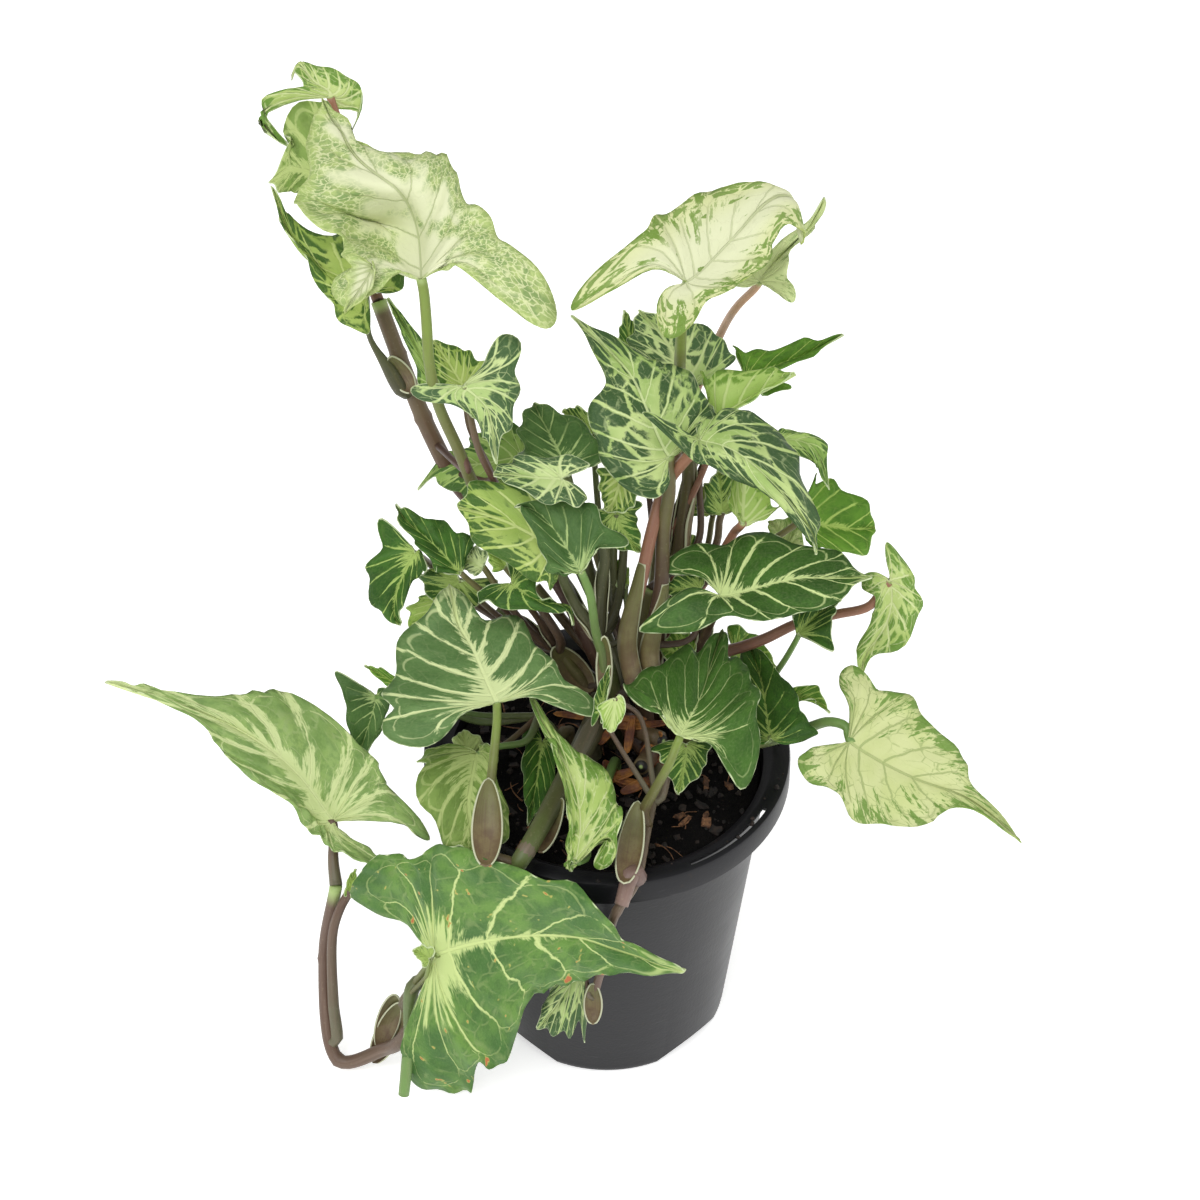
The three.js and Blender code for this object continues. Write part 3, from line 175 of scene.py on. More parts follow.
class Shader:
    """A material whose nodes are added through one method."""

    def __init__(self, name: str) -> None:
        """Makes an empty node material.

        Args:
            name: The material's name.
        """
        self.material = bpy.data.materials.new(name)
        self.material.use_nodes = True
        self.tree = self.material.node_tree
        self.surface = self.tree.nodes["Principled BSDF"].inputs

    def node(
        self,
        kind: str,
        settings: dict[str, Any] | None = None,
        inputs: dict[Any, Any] | None = None,
        output: int | str = 0,
    ) -> Value:
        """Adds one node.

        Args:
            kind: The node's type.
            settings: Its own settings, set before the sockets.
            inputs: Values or links for its sockets.
            output: Which output is wanted.

        Returns:
            The wanted output.
        """
        made = self.tree.nodes.new(kind)
        for key, value in (settings or {}).items():
            setattr(made, key, value)
        for key, value in (inputs or {}).items():
            if isinstance(value, Value):
                self.tree.links.new(value.socket, made.inputs[key])
            else:
                made.inputs[key].default_value = value
        return Value(self, made.outputs[output])

    def uv(self, name: str) -> Value:
        """One of the piece's UV maps."""
        return self.node("ShaderNodeUVMap", {"uv_map": name})

    def split(self, vector: Value) -> tuple[Value, Value, Value]:
        """The three numbers of a vector."""
        parts = self.node("ShaderNodeSeparateXYZ", None, {0: vector})
        return tuple(Value(self, out) for out in parts.socket.node.outputs)

    def gauge(self) -> tuple[Value, Value, Value, Value]:
        """The four numbers that the piece keeps at each of its points."""
        kept = self.node("ShaderNodeAttribute", {"attribute_name": "gauge"}, None, "Color")
        return (*self.split(kept), Value(self, kept.socket.node.outputs["Alpha"]))

    def objects(self) -> Value:
        """Object coordinates."""
        return self.node("ShaderNodeTexCoord", None, None, "Object")

    def vector(self, x: Any, y: Any, z: Any) -> Value:
        """A vector of three numbers."""
        return self.node("ShaderNodeCombineXYZ", None, {0: x, 1: y, 2: z})

    def scaled(self, vector: Value, scale: Sequence[float]) -> Value:
        """A vector multiplied by three numbers."""
        return self.node("ShaderNodeVectorMath", {"operation": "MULTIPLY"}, {0: vector, 1: tuple(scale)})

    def added(self, vector: Value, other: Value) -> Value:
        """The sum of two vectors."""
        return self.node("ShaderNodeVectorMath", {"operation": "ADD"}, {0: vector, 1: other})

    def noise(self, vector: Value, scale: float, detail: float = 3.0, rough: float = 0.55) -> Value:
        """Smooth noise between 0 and 1."""
        inputs = {"Vector": vector, "Scale": scale, "Detail": detail, "Roughness": rough}
        return self.node("ShaderNodeTexNoise", {"noise_dimensions": "3D"}, inputs)

    def cells(self, vector: Value, scale: float = 1.0) -> Value:
        """Distance to the nearest edge between random cells."""
        inputs = {"Vector": vector, "Scale": scale}
        return self.node("ShaderNodeTexVoronoi", {"feature": "DISTANCE_TO_EDGE"}, inputs, "Distance")

    def mix(self, share: Value | float, first: Any, second: Any) -> Value:
        """Mixes two colours."""
        inputs = {0: share, 6: self._rgba(first), 7: self._rgba(second)}
        return self.node("ShaderNodeMix", {"data_type": "RGBA"}, inputs, 2)

    @staticmethod
    def _rgba(colour: Any) -> Any:
        """Adds an alpha of 1 to a plain colour."""
        return colour if isinstance(colour, Value) else (*colour, 1.0)

    def shade(
        self, colour: Value, roughness: Value, height: Value | None = None, depth: float = 0.0,
        shine: float = 0.5,
    ) -> Material:
        """Feeds the surface.

        Args:
            colour: Base colour.
            roughness: Roughness.
            height: Relief, or none.
            depth: How deep a relief of 1 is, in millimetres.
            shine: Strength of the highlights.

        Returns:
            The material.
        """
        self.tree.links.new(colour.socket, self.surface["Base Color"])
        self.tree.links.new(roughness.socket, self.surface["Roughness"])
        self.surface["Specular IOR Level"].default_value = shine
        if height is not None:
            inputs = {"Height": height, "Distance": depth * MM, "Strength": 1.0}
            bump = self.node("ShaderNodeBump", None, inputs)
            self.tree.links.new(bump.socket, self.surface["Normal"])
        return self.material


def rgb(*seen: int) -> Rgb:
    """Turns a colour as seen on a screen, 0 to 255, into a linear one."""
    share = np.array(seen) / 255.0
    return tuple(np.where(share <= 0.04045, share / 12.92, ((share + 0.055) / 1.055) ** 2.4).tolist())


# ---- Mesh helpers -----------------------------------------------------------------------


def alone(piece: Piece) -> None:
    """Selects one piece and makes it the active one.

    Args:
        piece: The piece.
    """
    bpy.ops.object.select_all(action="DESELECT")
    piece.select_set(True)
    bpy.context.view_layer.objects.active = piece


def made(add: Callable[..., Any], **settings: Any) -> Piece:
    """Adds a primitive.

    Args:
        add: The operator that adds it.
        settings: The operator's settings.

    Returns:
        The new piece.
    """
    bpy.ops.object.select_all(action="DESELECT")
    add(**settings)
    return bpy.context.object


def edit(piece: Piece, *steps: Callable[[], Any]) -> None:
    """Runs steps in edit mode on the whole of a piece.

    Args:
        piece: The piece to edit.
        steps: Calls without arguments, in order.
    """
    alone(piece)
    bpy.ops.object.mode_set(mode="EDIT")
    bpy.ops.mesh.select_all(action="SELECT")
    for step in steps:
        step()
    bpy.ops.object.mode_set(mode="OBJECT")


def weld(distance: float = 2e-6) -> Callable[[], Any]:
    """A step that merges points closer than a distance, in metres."""
    return lambda: bpy.ops.mesh.remove_doubles(threshold=distance)


def face_out() -> None:
    """A step that turns every face outwards."""
    bpy.ops.mesh.normals_make_consistent(inside=False)


def modify(piece: Piece, kind: str, **settings: Any) -> None:
    """Adds a modifier and applies it.

    Args:
        piece: The piece to change.
        kind: The modifier's type.
        settings: Its settings.
    """
    alone(piece)
    modifier = piece.modifiers.new(kind.lower(), kind)
    for key, value in settings.items():
        setattr(modifier, key, value)
    bpy.ops.object.modifier_apply(modifier=modifier.name)


def smoothed(piece: Piece) -> Piece:
    """Shades a piece smooth.

    Args:
        piece: The piece.

    Returns:
        The same piece.
    """
    alone(piece)
    bpy.ops.object.shade_smooth()
    return piece


def joined(name: str, pieces: Sequence[Piece]) -> Piece:
    """Joins pieces into the first one.

    Args:
        name: The joined piece's name.
        pieces: At least one piece.

    Returns:
        The joined piece.
    """
    alone(pieces[0])
    for other in pieces[1:]:
        other.select_set(True)
    if len(pieces) > 1:
        bpy.ops.object.join()
    pieces[0].name = name
    pieces[0].data.name = name
    return pieces[0]


def points_of(piece: Piece) -> Array:
    """The piece's points.

    Args:
        piece: The piece.

    Returns:
        One row for each point, in metres.
    """
    flat = np.empty(len(piece.data.vertices) * 3)
    piece.data.vertices.foreach_get("co", flat)
    return flat.reshape(-1, 3)


def put_points(piece: Piece, points: Array) -> None:
    """Moves the piece's points, given in metres."""
    piece.data.vertices.foreach_set("co", np.ascontiguousarray(points, dtype=float).ravel())
    piece.data.update()


def put_map(piece: Piece, name: str, pairs: Array) -> None:
    """Gives the piece a UV map.

    Args:
        piece: The piece.
        name: The map's name.
        pairs: A pair of numbers for each point.
    """
    loops = np.empty(len(piece.data.loops), dtype=np.int32)
    piece.data.loops.foreach_get("vertex_index", loops)
    layer = piece.data.uv_layers.new(name=name)
    layer.data.foreach_set("uv", np.ascontiguousarray(pairs[loops], dtype=float).ravel())


def put_gauge(piece: Piece, rows: Array) -> None:
    """Gives each of the piece's points the four numbers that its shader reads."""
    kept = piece.data.attributes.new("gauge", "FLOAT_COLOR", "POINT")
    kept.data.foreach_set("color", np.ascontiguousarray(rows, dtype=float).ravel())


def sheet_piece(
    name: str, columns: int, rows: int, shape: Callable[[Array, Array], Array]
) -> tuple[Piece, Array, Array]:
    """A grid primitive whose points are laid on a shape.

    Args:
        name: The piece's name.
        columns: Faces across.
        rows: Faces along.
        shape: Gives points in millimetres from two arrays, both from 0 to 1.

    Returns:
        The piece, and where each of its points lies across and along.
    """
    piece = made(bpy.ops.mesh.primitive_grid_add, x_subdivisions=columns, y_subdivisions=rows, size=2.0)
    piece.name = name
    piece.data.name = name
    flat = points_of(piece)
    across = np.round((flat[:, 0] + 1.0) / 2.0, 6)
    along = np.round((flat[:, 1] + 1.0) / 2.0, 6)
    while piece.data.uv_layers:
        piece.data.uv_layers.remove(piece.data.uv_layers[0])
    put_points(piece, shape(across, along) * MM)
    return piece, across, along


def smooth_noise(points: Array, scale: float, seed: float) -> Array:
    """A soft repeatable noise between -1 and 1.

    Args:
        points: Places, one row each.
        scale: Waves for each unit of length.
        seed: Shifts the pattern.

    Returns:
        One number for each place.
    """
    total = np.zeros(len(points))
    turns = ((1.0, 0.6, 0.3), (-0.5, 1.1, 0.7), (0.8, -0.9, 1.0), (0.3, 0.7, -1.3))
    for k, turn in enumerate(turns):
        phase = points @ np.array(turn) * scale * (1.0 + 0.37 * k) + seed * (1.7 + k)
        total += np.sin(phase) / (1.0 + 0.35 * k)
    return total / 2.6


# ---- Curves -----------------------------------------------------------------------------


def cubic(ends: tuple[Array, Array], slopes: tuple[Array, Array], t: Array) -> Array:
    """A cubic curve between two points.

    Args:
        ends: The two points.
        slopes: The curve's slope at each.
        t: Places along it, 0 to 1, one row each.

    Returns:
        One point for each place.
    """
    (start, stop), (first, last) = ends, slopes
    bend = (2 * start - 2 * stop + first + last) * t**3
    return bend + (3 * stop - 3 * start - 2 * first - last) * t**2 + first * t + start


def spline(knots: Array, where: Array) -> Array:
    """A smooth curve through evenly counted knots.

    Args:
        knots: The points it passes.
        where: Places along it, 0 to 1.

    Returns:
        One point for each place.
    """
    padded = np.vstack([knots[0], knots, knots[-1]])
    spot = np.clip(where, 0, 1) * (len(knots) - 1)
    first = np.minimum(spot.astype(int), len(knots) - 2)
    a, b, c, d = (padded[first + k] for k in range(4))
    return cubic((b, c), ((c - a) / 2, (d - b) / 2), (spot - first)[:, None])


class Route:
    """A smooth route through places, by its own length."""

    SAMPLES = 24

    def __init__(self, knots: Sequence[Array]) -> None:
        """Lays the route.

        Args:
            knots: The points it passes, in millimetres.
        """
        knots = np.array(knots)
        padded = np.vstack([2 * knots[0] - knots[1], knots, 2 * knots[-1] - knots[-2]])
        t = np.linspace(0, 1, self.SAMPLES, endpoint=False)[:, None]
        parts = []
        for k in range(len(knots) - 1):
            a, b, c, d = padded[k : k + 4]
            gaps = [max(float(np.linalg.norm(q - p)) ** 0.5, 1e-3) for p, q in ((a, b), (b, c), (c, d))]
            slope_b = ((b - a) / gaps[0] - (c - a) / (gaps[0] + gaps[1]) + (c - b) / gaps[1]) * gaps[1]
            slope_c = ((c - b) / gaps[1] - (d - b) / (gaps[1] + gaps[2]) + (d - c) / gaps[2]) * gaps[1]
            parts.append(cubic((b, c), (slope_b, slope_c), t))
        self.line = np.vstack([*parts, knots[-1:]])
        gaps = np.linalg.norm(np.diff(self.line, axis=0), axis=1)
        self.marks = np.concatenate([[0.0], np.cumsum(gaps)])
        self.length = float(self.marks[-1])

    def at(self, where: Array) -> Array:
        """Points at shares of the length, 0 to 1."""
        spot = np.clip(where, 0, 1) * self.length
        return np.stack([np.interp(spot, self.marks, self.line[:, k]) for k in range(3)], axis=-1)

    def frames(self, where: Array) -> tuple[Array, Array, Array]:
        """Points with two directions across the route.

        Args:
            where: Rising shares of the length, 0 to 1.

        Returns:
            Points, the side nearest the front, and the side square to it.
        """
        centre = self.at(where)
        ahead = self.at(where + 0.01) - self.at(where - 0.01)
        ahead /= np.linalg.norm(ahead, axis=1, keepdims=True) + 1e-12
        first = np.empty_like(centre)
        side = np.array([0.2, -0.7, 0.6])
        for k, way in enumerate(ahead):
            side = side - way * (side @ way)
            side /= np.linalg.norm(side) + 1e-12
            first[k] = side
        return centre, first, np.cross(ahead, first)

    def nearest(self, point: Array) -> Array:
        """The route's point nearest a given one."""
        return self.line[np.argmin(np.linalg.norm(self.line - point, axis=1))]


def tube(name: str, route: Route, radius: Callable[[Array], Array], sides: int, step: float = 2.2) -> Piece:
    """A closed round stalk along a route.

    Args:
        name: The piece's name.
        route: Where it runs.
        radius: Its radius at shares of the length, in millimetres.
        sides: Faces round it.
        step: Length of a face, in millimetres.

    Returns:
        The piece, with a UV map "stalk": centimetres along, and turns round.
    """
    rows = int(np.clip(route.length / step, 8, 160))
    levels = np.linspace(0, 1, rows + 1)
    centre, first, second = route.frames(levels)
    size = radius(levels) * np.ones(rows + 1)

    def shape(across: Array, along: Array) -> Array:
        """The tube, drawn in to its middle at both ends.

        Args:
            across: Turns round it.
            along: Share of its length.

        Returns:
            Points in millimetres.
        """
        level = np.rint(along * (rows + 2)).astype(int) - 1
        ends = (level < 0) | (level > rows)
        level = np.clip(level, 0, rows)
        angle = (FULL_TURN * across)[:, None]
        ring = np.cos(angle) * first[level] + np.sin(angle) * second[level]
        return centre[level] + ring * (size[level] * np.where(ends, 0.0, 1.0))[:, None]

    piece, across, along = sheet_piece(name, sides, rows + 2, shape)
    put_map(piece, "stalk", np.stack([along * route.length / 10, across], axis=-1))
    put_gauge(piece, np.stack([along, across, 0 * along, 0 * along + 1], axis=-1))
    edit(piece, weld(), face_out)
    return smoothed(piece)


# ---- Finishes ---------------------------------------------------------------------------

RIBS = 6.0
PALE_VEIN = rgb(150, 166, 104)


def palette(tones: str) -> list[Rgb]:
    """Reads colours, three numbers each."""
    values = [int(value) for value in tones.split()]
    return [rgb(*values[k : k + 3]) for k in range(0, len(values), 3)]


class Pattern(Enum):
    """How a blade's colour lies on it."""

    FEATHERED = "feathered"
    MARBLED = "marbled"
    NETTED = "netted"
    TUFTED = "tufted"
    VEINED = "veined"


@dataclass(frozen=True)
class LeafFinish:
    """Colours and pattern of a blade; lengths are millimetres."""

    name: str
    pattern: Pattern
    ground: Rgb
    cloud: Rgb
    vein: Rgb
    patch: Rgb
    under: Rgb
    edge: Rgb = rgb(205, 218, 172)
    cover: float = 0.5
    halo: float = 9.0
    line: float = 0.26
    ribs: float = 0.9
    hug: float = 1.0
    net: float = 0.1
    freckles: float = 0.0
    gloss: float = 0.44

    @classmethod
    def read(cls, entry: str) -> LeafFinish:
        """Reads a finish from its line in the table.

        Args:
            entry: Name and pattern, the colours in the order of the fields, and options, with
                a bar between the three.

        Returns:
            The finish.
        """
        head, tones, more = entry.split("|")
        name, pattern = head.split()
        return cls(name, Pattern(pattern), *palette(tones), **options_of(more.split()))

    def materials(self) -> tuple[Material, Material]:
        """The upper and the under side's materials."""
        return LeafShader(self, upper=True).painted(), LeafShader(self, upper=False).painted()


class LeafShader(Shader):
    """One side of a blade, with the values that its pattern is made of, in millimetres."""

    def __init__(self, finish: LeafFinish, upper: bool) -> None:
        """Builds the values that every pattern uses.

        Args:
            finish: The blade's finish.
            upper: Whether it is the upper side.
        """
        super().__init__(f"{finish.name}_{'upper' if upper else 'under'}")
        self.finish = finish
        self.upper = upper
        self.patch = self.uv("patch")
        self.run, self.across, _ = self.split(self.uv("veins"))
        self.span, self.off, self.edge, self.far = self.gauge()
        self.reach = abs(self.across * 2.0 - 1.0)
        self.cloud = self.noise(self.patch, 0.55, 2.0)
        self.fine = self.noise(self.patch, 2.3, 4.0, 0.62)
        self.grain = self.noise(self.patch, 12.0, 2.0)
        place = self.vector(self.run * (RIBS * 5.0), self.across * 5.0, self.cloud)
        self.streaks = self.noise(place, 1.0, 4.0, 0.7)
        bend = (self.cloud - 0.5) * 0.3 + (self.fine - 0.5) * 0.16
        self.beat = abs((self.run * RIBS + bend + 0.5).fraction() - 0.5)
        self.gap = self.beat * self.span * (1.0 / RIBS)
        self.middle = self.off.line(finish.line * 1.4, 0.35)
        self.rib, self.loop = self._veins()
        self.brush = self._brush()
        beside = self.across * 9.0 + self.cloud * 1.5
        place = self.vector(self.run * (RIBS * 1.9) + self.fine * 0.5, beside, 0.0)
        self.net = self.cells(place).line(0.012, 0.06) * self.fine.step(0.4, 0.6)

    def _veins(self) -> tuple[Value, Value]:
        """The side veins, and the loops that join their ends inside the edge.

        Returns:
            Where the veins lie, and where the loops lie.
        """
        line = self.finish.line
        swell = self.beat * 2.0
        ring = 0.76 + (swell * (2.0 - swell)) * 0.15 + (self.cloud - 0.5) * 0.12
        inside = (ring + 0.015 - self.reach).step(-0.02, 0.02)
        near = (self.reach - ring) * (self.off + self.edge)
        rib = self.gap.line((1.0 - self.reach * 0.35) * line, 0.45) * inside
        loop = abs(near).line(line * 0.5, 0.32) * self.fine.step(0.36, 0.46) * self.span.step(8.0, 20.0)
        return rib, loop

    def _brush(self) -> Value:
        """Pale brush strokes that fade away from the seat, the midrib and the side veins.

        Returns:
            Where the strokes lie.
        """
        halo, hug = self.finish.halo, self.finish.hug
        from_seat = self.far * (1.7 / halo)
        from_middle = self.off * (5.5 * hug**0.5 / halo) + self.far * (0.22 * hug / halo)
        from_rib = self.gap * (12.0 / halo) + (self.off * 0.3 + self.far * 0.13) * (hug / halo)
        depth = from_seat.at_most(from_middle).at_most(from_rib)
        return (self.streaks * 3.4 - 0.95 - depth).step(-0.15, 0.3)

    def painted(self) -> Material:
        """Paints the side.

        Returns:
            The material.
        """
        finish = self.finish
        colour = getattr(self, finish.pattern.value)()
        colour = self.mix(self.grain.step(0.35, 0.8) * 0.06, colour, finish.vein)
        colour = self.mix(self.edge.line(0.12, 0.3) * 0.85, colour, finish.edge)
        if finish.freckles:
            spot = self.noise(self.patch, 1.7, 2.0)
            ring = spot.step(0.66, 0.7) * 0.5 * finish.freckles
            rust = spot.step(0.69, 0.72) * finish.freckles
            colour = self.mix(ring, colour, rgb(196, 186, 100))
            colour = self.mix(rust * 0.85, colour, rgb(176, 104, 62))
        if not self.upper:
            colour = self.mix(0.68, colour, finish.under)
            colour = self.mix((self.rib * 0.6).at_least(self.middle * 0.8), colour, finish.edge)
        ridge = (self.rib * 0.6).at_least(self.middle * 0.9).at_least(self.loop * 0.5)
        relief = ridge * (-1.0 if self.upper else 1.0) - self.net * 0.3
        relief = relief + self.grain * 0.05 + self.fine * 0.8 + 1.0
        rough = self.grain * 0.14 + (finish.gloss if self.upper else finish.gloss + 0.15)
        return self.shade(colour, rough, relief, depth=0.26, shine=0.18)

    def _clouded(self, share: float = 1.0) -> Value:
        """The ground colour with soft clouds in it."""
        return self.mix(self.cloud.step(0.35, 0.65) * share, self.finish.ground, self.finish.cloud)

    def feathered(self) -> Value:
        """Dark, with a pale brush round the seat and along the veins.

        Returns:
            The colour.
        """
        finish = self.finish
        shade = self.fine.step(0.42, 0.62) * (1.0 - self.brush) * finish.cover
        colour = self.mix(shade, self._clouded(), finish.patch)
        colour = self.mix(self.net * finish.net, colour, finish.vein)
        colour = self.mix(self.brush * 0.86, colour, finish.vein)
        seen = (1.45 - self.reach * 0.8 + (self.cloud - 0.5) * 2.4).at_most(1.0).at_least(0.1)
        veins = self.middle.at_least(self.rib.at_least(self.loop * (0.75 * finish.ribs)) * seen)
        return self.mix(veins * finish.ribs, colour, finish.vein)

    def marbled(self) -> Value:
        """Pale, with dark blots between the veins.

        Returns:
            The colour.
        """
        finish = self.finish
        place = self.vector(self.run * RIBS + self.cloud * 0.5, self.across * 4.8 + self.fine * 0.6, 0.0)
        least = 0.3 - finish.cover * 0.22 - self.reach.step(0.35, 1.0) * 0.15 + (self.cloud - 0.5) * 0.3
        clear = self.streaks * 9.0 + 24.0 * (1.0 - finish.cover)
        room = (self.beat * 2.0 - 0.03 - self.streaks * 0.08).step(0.0, 0.1)
        room = room * (self.reach * 26.0 + self.far * 0.5 - clear).step(0.0, 4.0)
        blot = self.cells(place) + (self.fine - 0.5) * 0.3 + (self.streaks - 0.5) * 0.16
        colour = self.mix((blot - least).step(-0.02, 0.07) * room, self._clouded(), finish.patch)
        colour = self.mix(self.net * finish.net, colour, finish.vein)
        return self.mix(self.rib.at_least(self.middle) * 0.75, colour, finish.vein)

    def netted(self) -> Value:
        """Cream, with soft green fields under a net of pale veins.

        Returns:
            The colour.
        """
        finish = self.finish
        zone = self.cloud * 2.4 + self.reach * 0.7 + self.fine * 0.3 + self.far.step(4.0, 26.0) * 0.25
        field_ = zone.step(1.9 - finish.cover * 0.3, 2.3 - finish.cover * 0.3)
        bent = self.added(self.patch, self.vector(self.streaks * 0.4, self.fine * 0.5, 0.0))
        lines = self.cells(self.scaled(bent, (1.0, 1.35, 1.0)), 4.0).line(0.02, 0.1)
        green = self.mix(self.fine.step(0.32, 0.62), finish.cloud, finish.patch)
        green = self.mix(lines * 0.8, green, finish.vein)
        colour = self.mix(field_ * 0.85, finish.ground, green)
        colour = self.mix(self.edge.line(0.4, 4.0) * 0.55, colour, finish.cloud)
        return self.mix((self.rib * 0.5).at_least(self.middle * 0.5), colour, PALE_VEIN)

    def tufted(self) -> Value:
        """Cream, with small green tufts that lie along the veins.

        Returns:
            The colour.
        """
        finish = self.finish
        place = self.vector(self.run * (RIBS * 4.2), self.across * 7.0, self.cloud * 0.6)
        mask = (self.reach * 0.3 + self.cloud * 0.5 + self.beat * 0.2).step(0.36, 0.6)
        drawn = self.noise(place, 1.0, 5.0, 0.72) + mask * 0.14 - 0.68 + finish.cover * 0.1
        place = self.vector(self.run * (RIBS * 1.5) + self.cloud, self.across * 19.0 + self.fine, 0.0)
        least = 0.42 - self.reach.step(0.45, 0.95) * 0.3 + (self.cloud - 0.5) * 0.5
        spots = (self.cells(place) + (self.fine - 0.5) * 0.2 - least).step(0.0, 0.04)
        colour = self.mix(self.reach.step(0.35, 1.0) * 0.75, finish.ground, finish.cloud)
        colour = self.mix((drawn.step(0.0, 0.05) * mask).at_least(spots * 0.9), colour, finish.patch)
        rim = self.edge.line(0.3, 1.4) * self.fine.step(0.4, 0.6) * 0.5
        colour = self.mix(rim, colour, finish.patch)
        return self.mix((self.rib * 0.35).at_least(self.middle * 0.35), colour, PALE_VEIN)

    def veined(self) -> Value:
        """Cream, with thin green veins and a few green tufts.

        Returns:
            The colour.
        """
        place = self.vector(self.run * (RIBS * 2.2) + self.fine * 0.5, self.across * 10.0 + self.cloud, 0.0)
        twigs = self.cells(place).line(0.0, 0.05) * self.fine.step(0.38, 0.52)
        twigs = twigs * self.reach.step(0.1, 0.4)
        tuft = (self.streaks + self.reach * 0.24 + self.cloud * 0.4 - 0.9).step(0.0, 0.06)
        green = (self.rib * 0.8).at_least(self.middle * 0.6).at_least(self.loop * 0.5).at_least(twigs * 0.8)
        rim = self.edge.line(0.8, 3.0) * self.cloud.step(0.4, 0.6) * 0.6
        colour = self.mix(rim, self._clouded(0.6), PALE_VEIN)
        colour = self.mix(green, colour, PALE_VEIN)
        return self.mix((tuft * (self.finish.cover * 2.0)).at_most(1.0), colour, self.finish.patch)


LEAF_TABLE = """
cream netted | 214 218 180  168 188 108  214 220 166  106 140 66  176 190 138  188 202 130 \
    | cover=0.7 gloss=0.48
ivory tufted | 210 214 176  200 206 140  214 218 178  112 142 60  180 190 138  170 186 100 | gloss=0.46
lace veined | 198 205 148  182 194 124  216 222 176  96 134 50  180 194 136  150 172 88 \
    | cover=0.44 gloss=0.5
marbled marbled | 182 200 130  148 174 98  204 218 158  56 84 46  134 158 98 | cover=0.84 halo=12 net=0.3
feathered feathered | 46 80 24  60 98 34  206 222 152  36 68 20  100 130 70 | halo=16 line=0.11 net=0.03
starred feathered | 54 90 30  68 106 40  206 222 152  44 78 26  104 134 72 \
    | halo=21 line=0.1 ribs=0.55 net=0.03 hug=3.2
dusk feathered | 62 94 44  78 110 56  170 192 124  52 84 36  108 134 76 \
    | halo=10 line=0.08 ribs=0.4 net=0.04 hug=2
frosted feathered | 82 114 62  98 130 74  210 222 162  70 102 52  122 148 92 | halo=19 line=0.2 net=0.05
speckled feathered | 64 104 46  96 134 58  192 208 136  56 92 40  110 140 76 \
    | halo=28 line=0.25 net=0.16 hug=1.7 freckles=1.3
washed feathered | 120 150 82  142 170 96  208 220 158  104 136 72  154 174 118 \
    | cover=0.6 halo=56 line=0.36 net=0.2
mottled marbled | 156 182 100  126 158 76  186 206 134  66 100 42  130 156 94 | cover=0.6 halo=8
lime marbled | 156 184 90  126 158 60  188 208 124  74 110 42  136 160 84 | cover=0.36 halo=12
sage feathered | 102 130 56  124 150 74  172 188 118  86 112 46  126 150 84 | cover=0.6 halo=20 line=0.3
young feathered | 74 118 30  98 142 44  164 190 96  58 98 26  116 148 70 | line=0.12 ribs=0.5
fresh marbled | 172 198 112  150 182 84  200 216 146  108 146 56  156 180 100 | cover=0.34 halo=6
slate marbled | 194 210 146  164 188 116  198 212 152  66 94 56  130 156 104 | cover=0.9 halo=6 net=0.35
milk marbled | 186 202 130  162 186 100  208 218 160  104 140 58  156 178 100 | cover=0.8 halo=8 net=0.6
moire marbled | 168 188 100  138 164 76  196 210 136  64 98 36  132 156 80 | cover=0.7 halo=10
deep feathered | 44 80 24  60 102 32  168 192 104  34 66 22  100 132 62 | line=0.1 ribs=0.26 net=0.04
"""
LEAF_FINISHES = {line.split()[0]: LeafFinish.read(line) for line in LEAF_TABLE.strip().splitlines()}


@dataclass(frozen=True)
class StalkFinish:
    """Colours of a stem and its stalks, from the soil to the leaf."""

    name: str
    base: Rgb
    middle: Rgb
    tip: Rgb
    streak: Rgb
    rough: float = 0.4

    def material(self) -> Material:
        """Builds the material.

        Returns:
            The material; its last hundredths are the pale green of a fresh end.
        """
        s = Shader(f"stalk_{self.name}")
        along, _, _, _ = s.gauge()
        streaks = s.noise(s.scaled(s.uv("stalk"), (0.35, 9.0, 1.0)), 1.0, 4.0, 0.6)
        blots = s.noise(s.objects(), 160.0, 3.0)
        share = along + (blots - 0.5) * 0.35
        specks = s.noise(s.objects(), 900.0, 2.0).step(0.62, 0.7)
        colour = s.mix(share.step(0.15, 0.5), self.base, self.middle)
        colour = s.mix(share.step(0.5, 0.9), colour, self.tip)
        colour = s.mix(streaks.step(0.45, 0.75) * 0.5, colour, self.streak)
        colour = s.mix(specks * 0.18, colour, rgb(150, 140, 110))
        colour = s.mix(along.step(0.965, 0.99), colour, rgb(160, 182, 112))
        return s.shade(colour, streaks * 0.2 + self.rough, streaks + blots * 0.5, depth=0.25)


STALK_TABLE = """
bark 64 44 32  84 54 42  94 80 54  116 86 68
umber 62 48 34  76 58 42  100 98 54  112 84 66
olive 60 60 34  72 76 40  86 100 50  100 94 62
tan 90 68 50  94 84 56  100 120 62  132 110 86
green 92 98 60  92 116 60  104 138 68  124 138 84
moss 84 70 46  96 98 48  116 136 56  110 112 62
blush 110 84 66  158 122 98  186 150 122  172 138 112
vine 100 96 74  96 80 62  98 76 62  132 112 98
paper 98 76 68  112 88 78  126 102 92  146 124 114
ash 22 15 12  20 14 11  18 12 10  40 28 22
rose 108 76 62  132 90 70  144 100 76  156 118 94
"""
STALK_FINISHES = {
    name: StalkFinish(name, *palette(tones))
    for name, tones in (line.split(" ", 1) for line in STALK_TABLE.strip().splitlines())
}


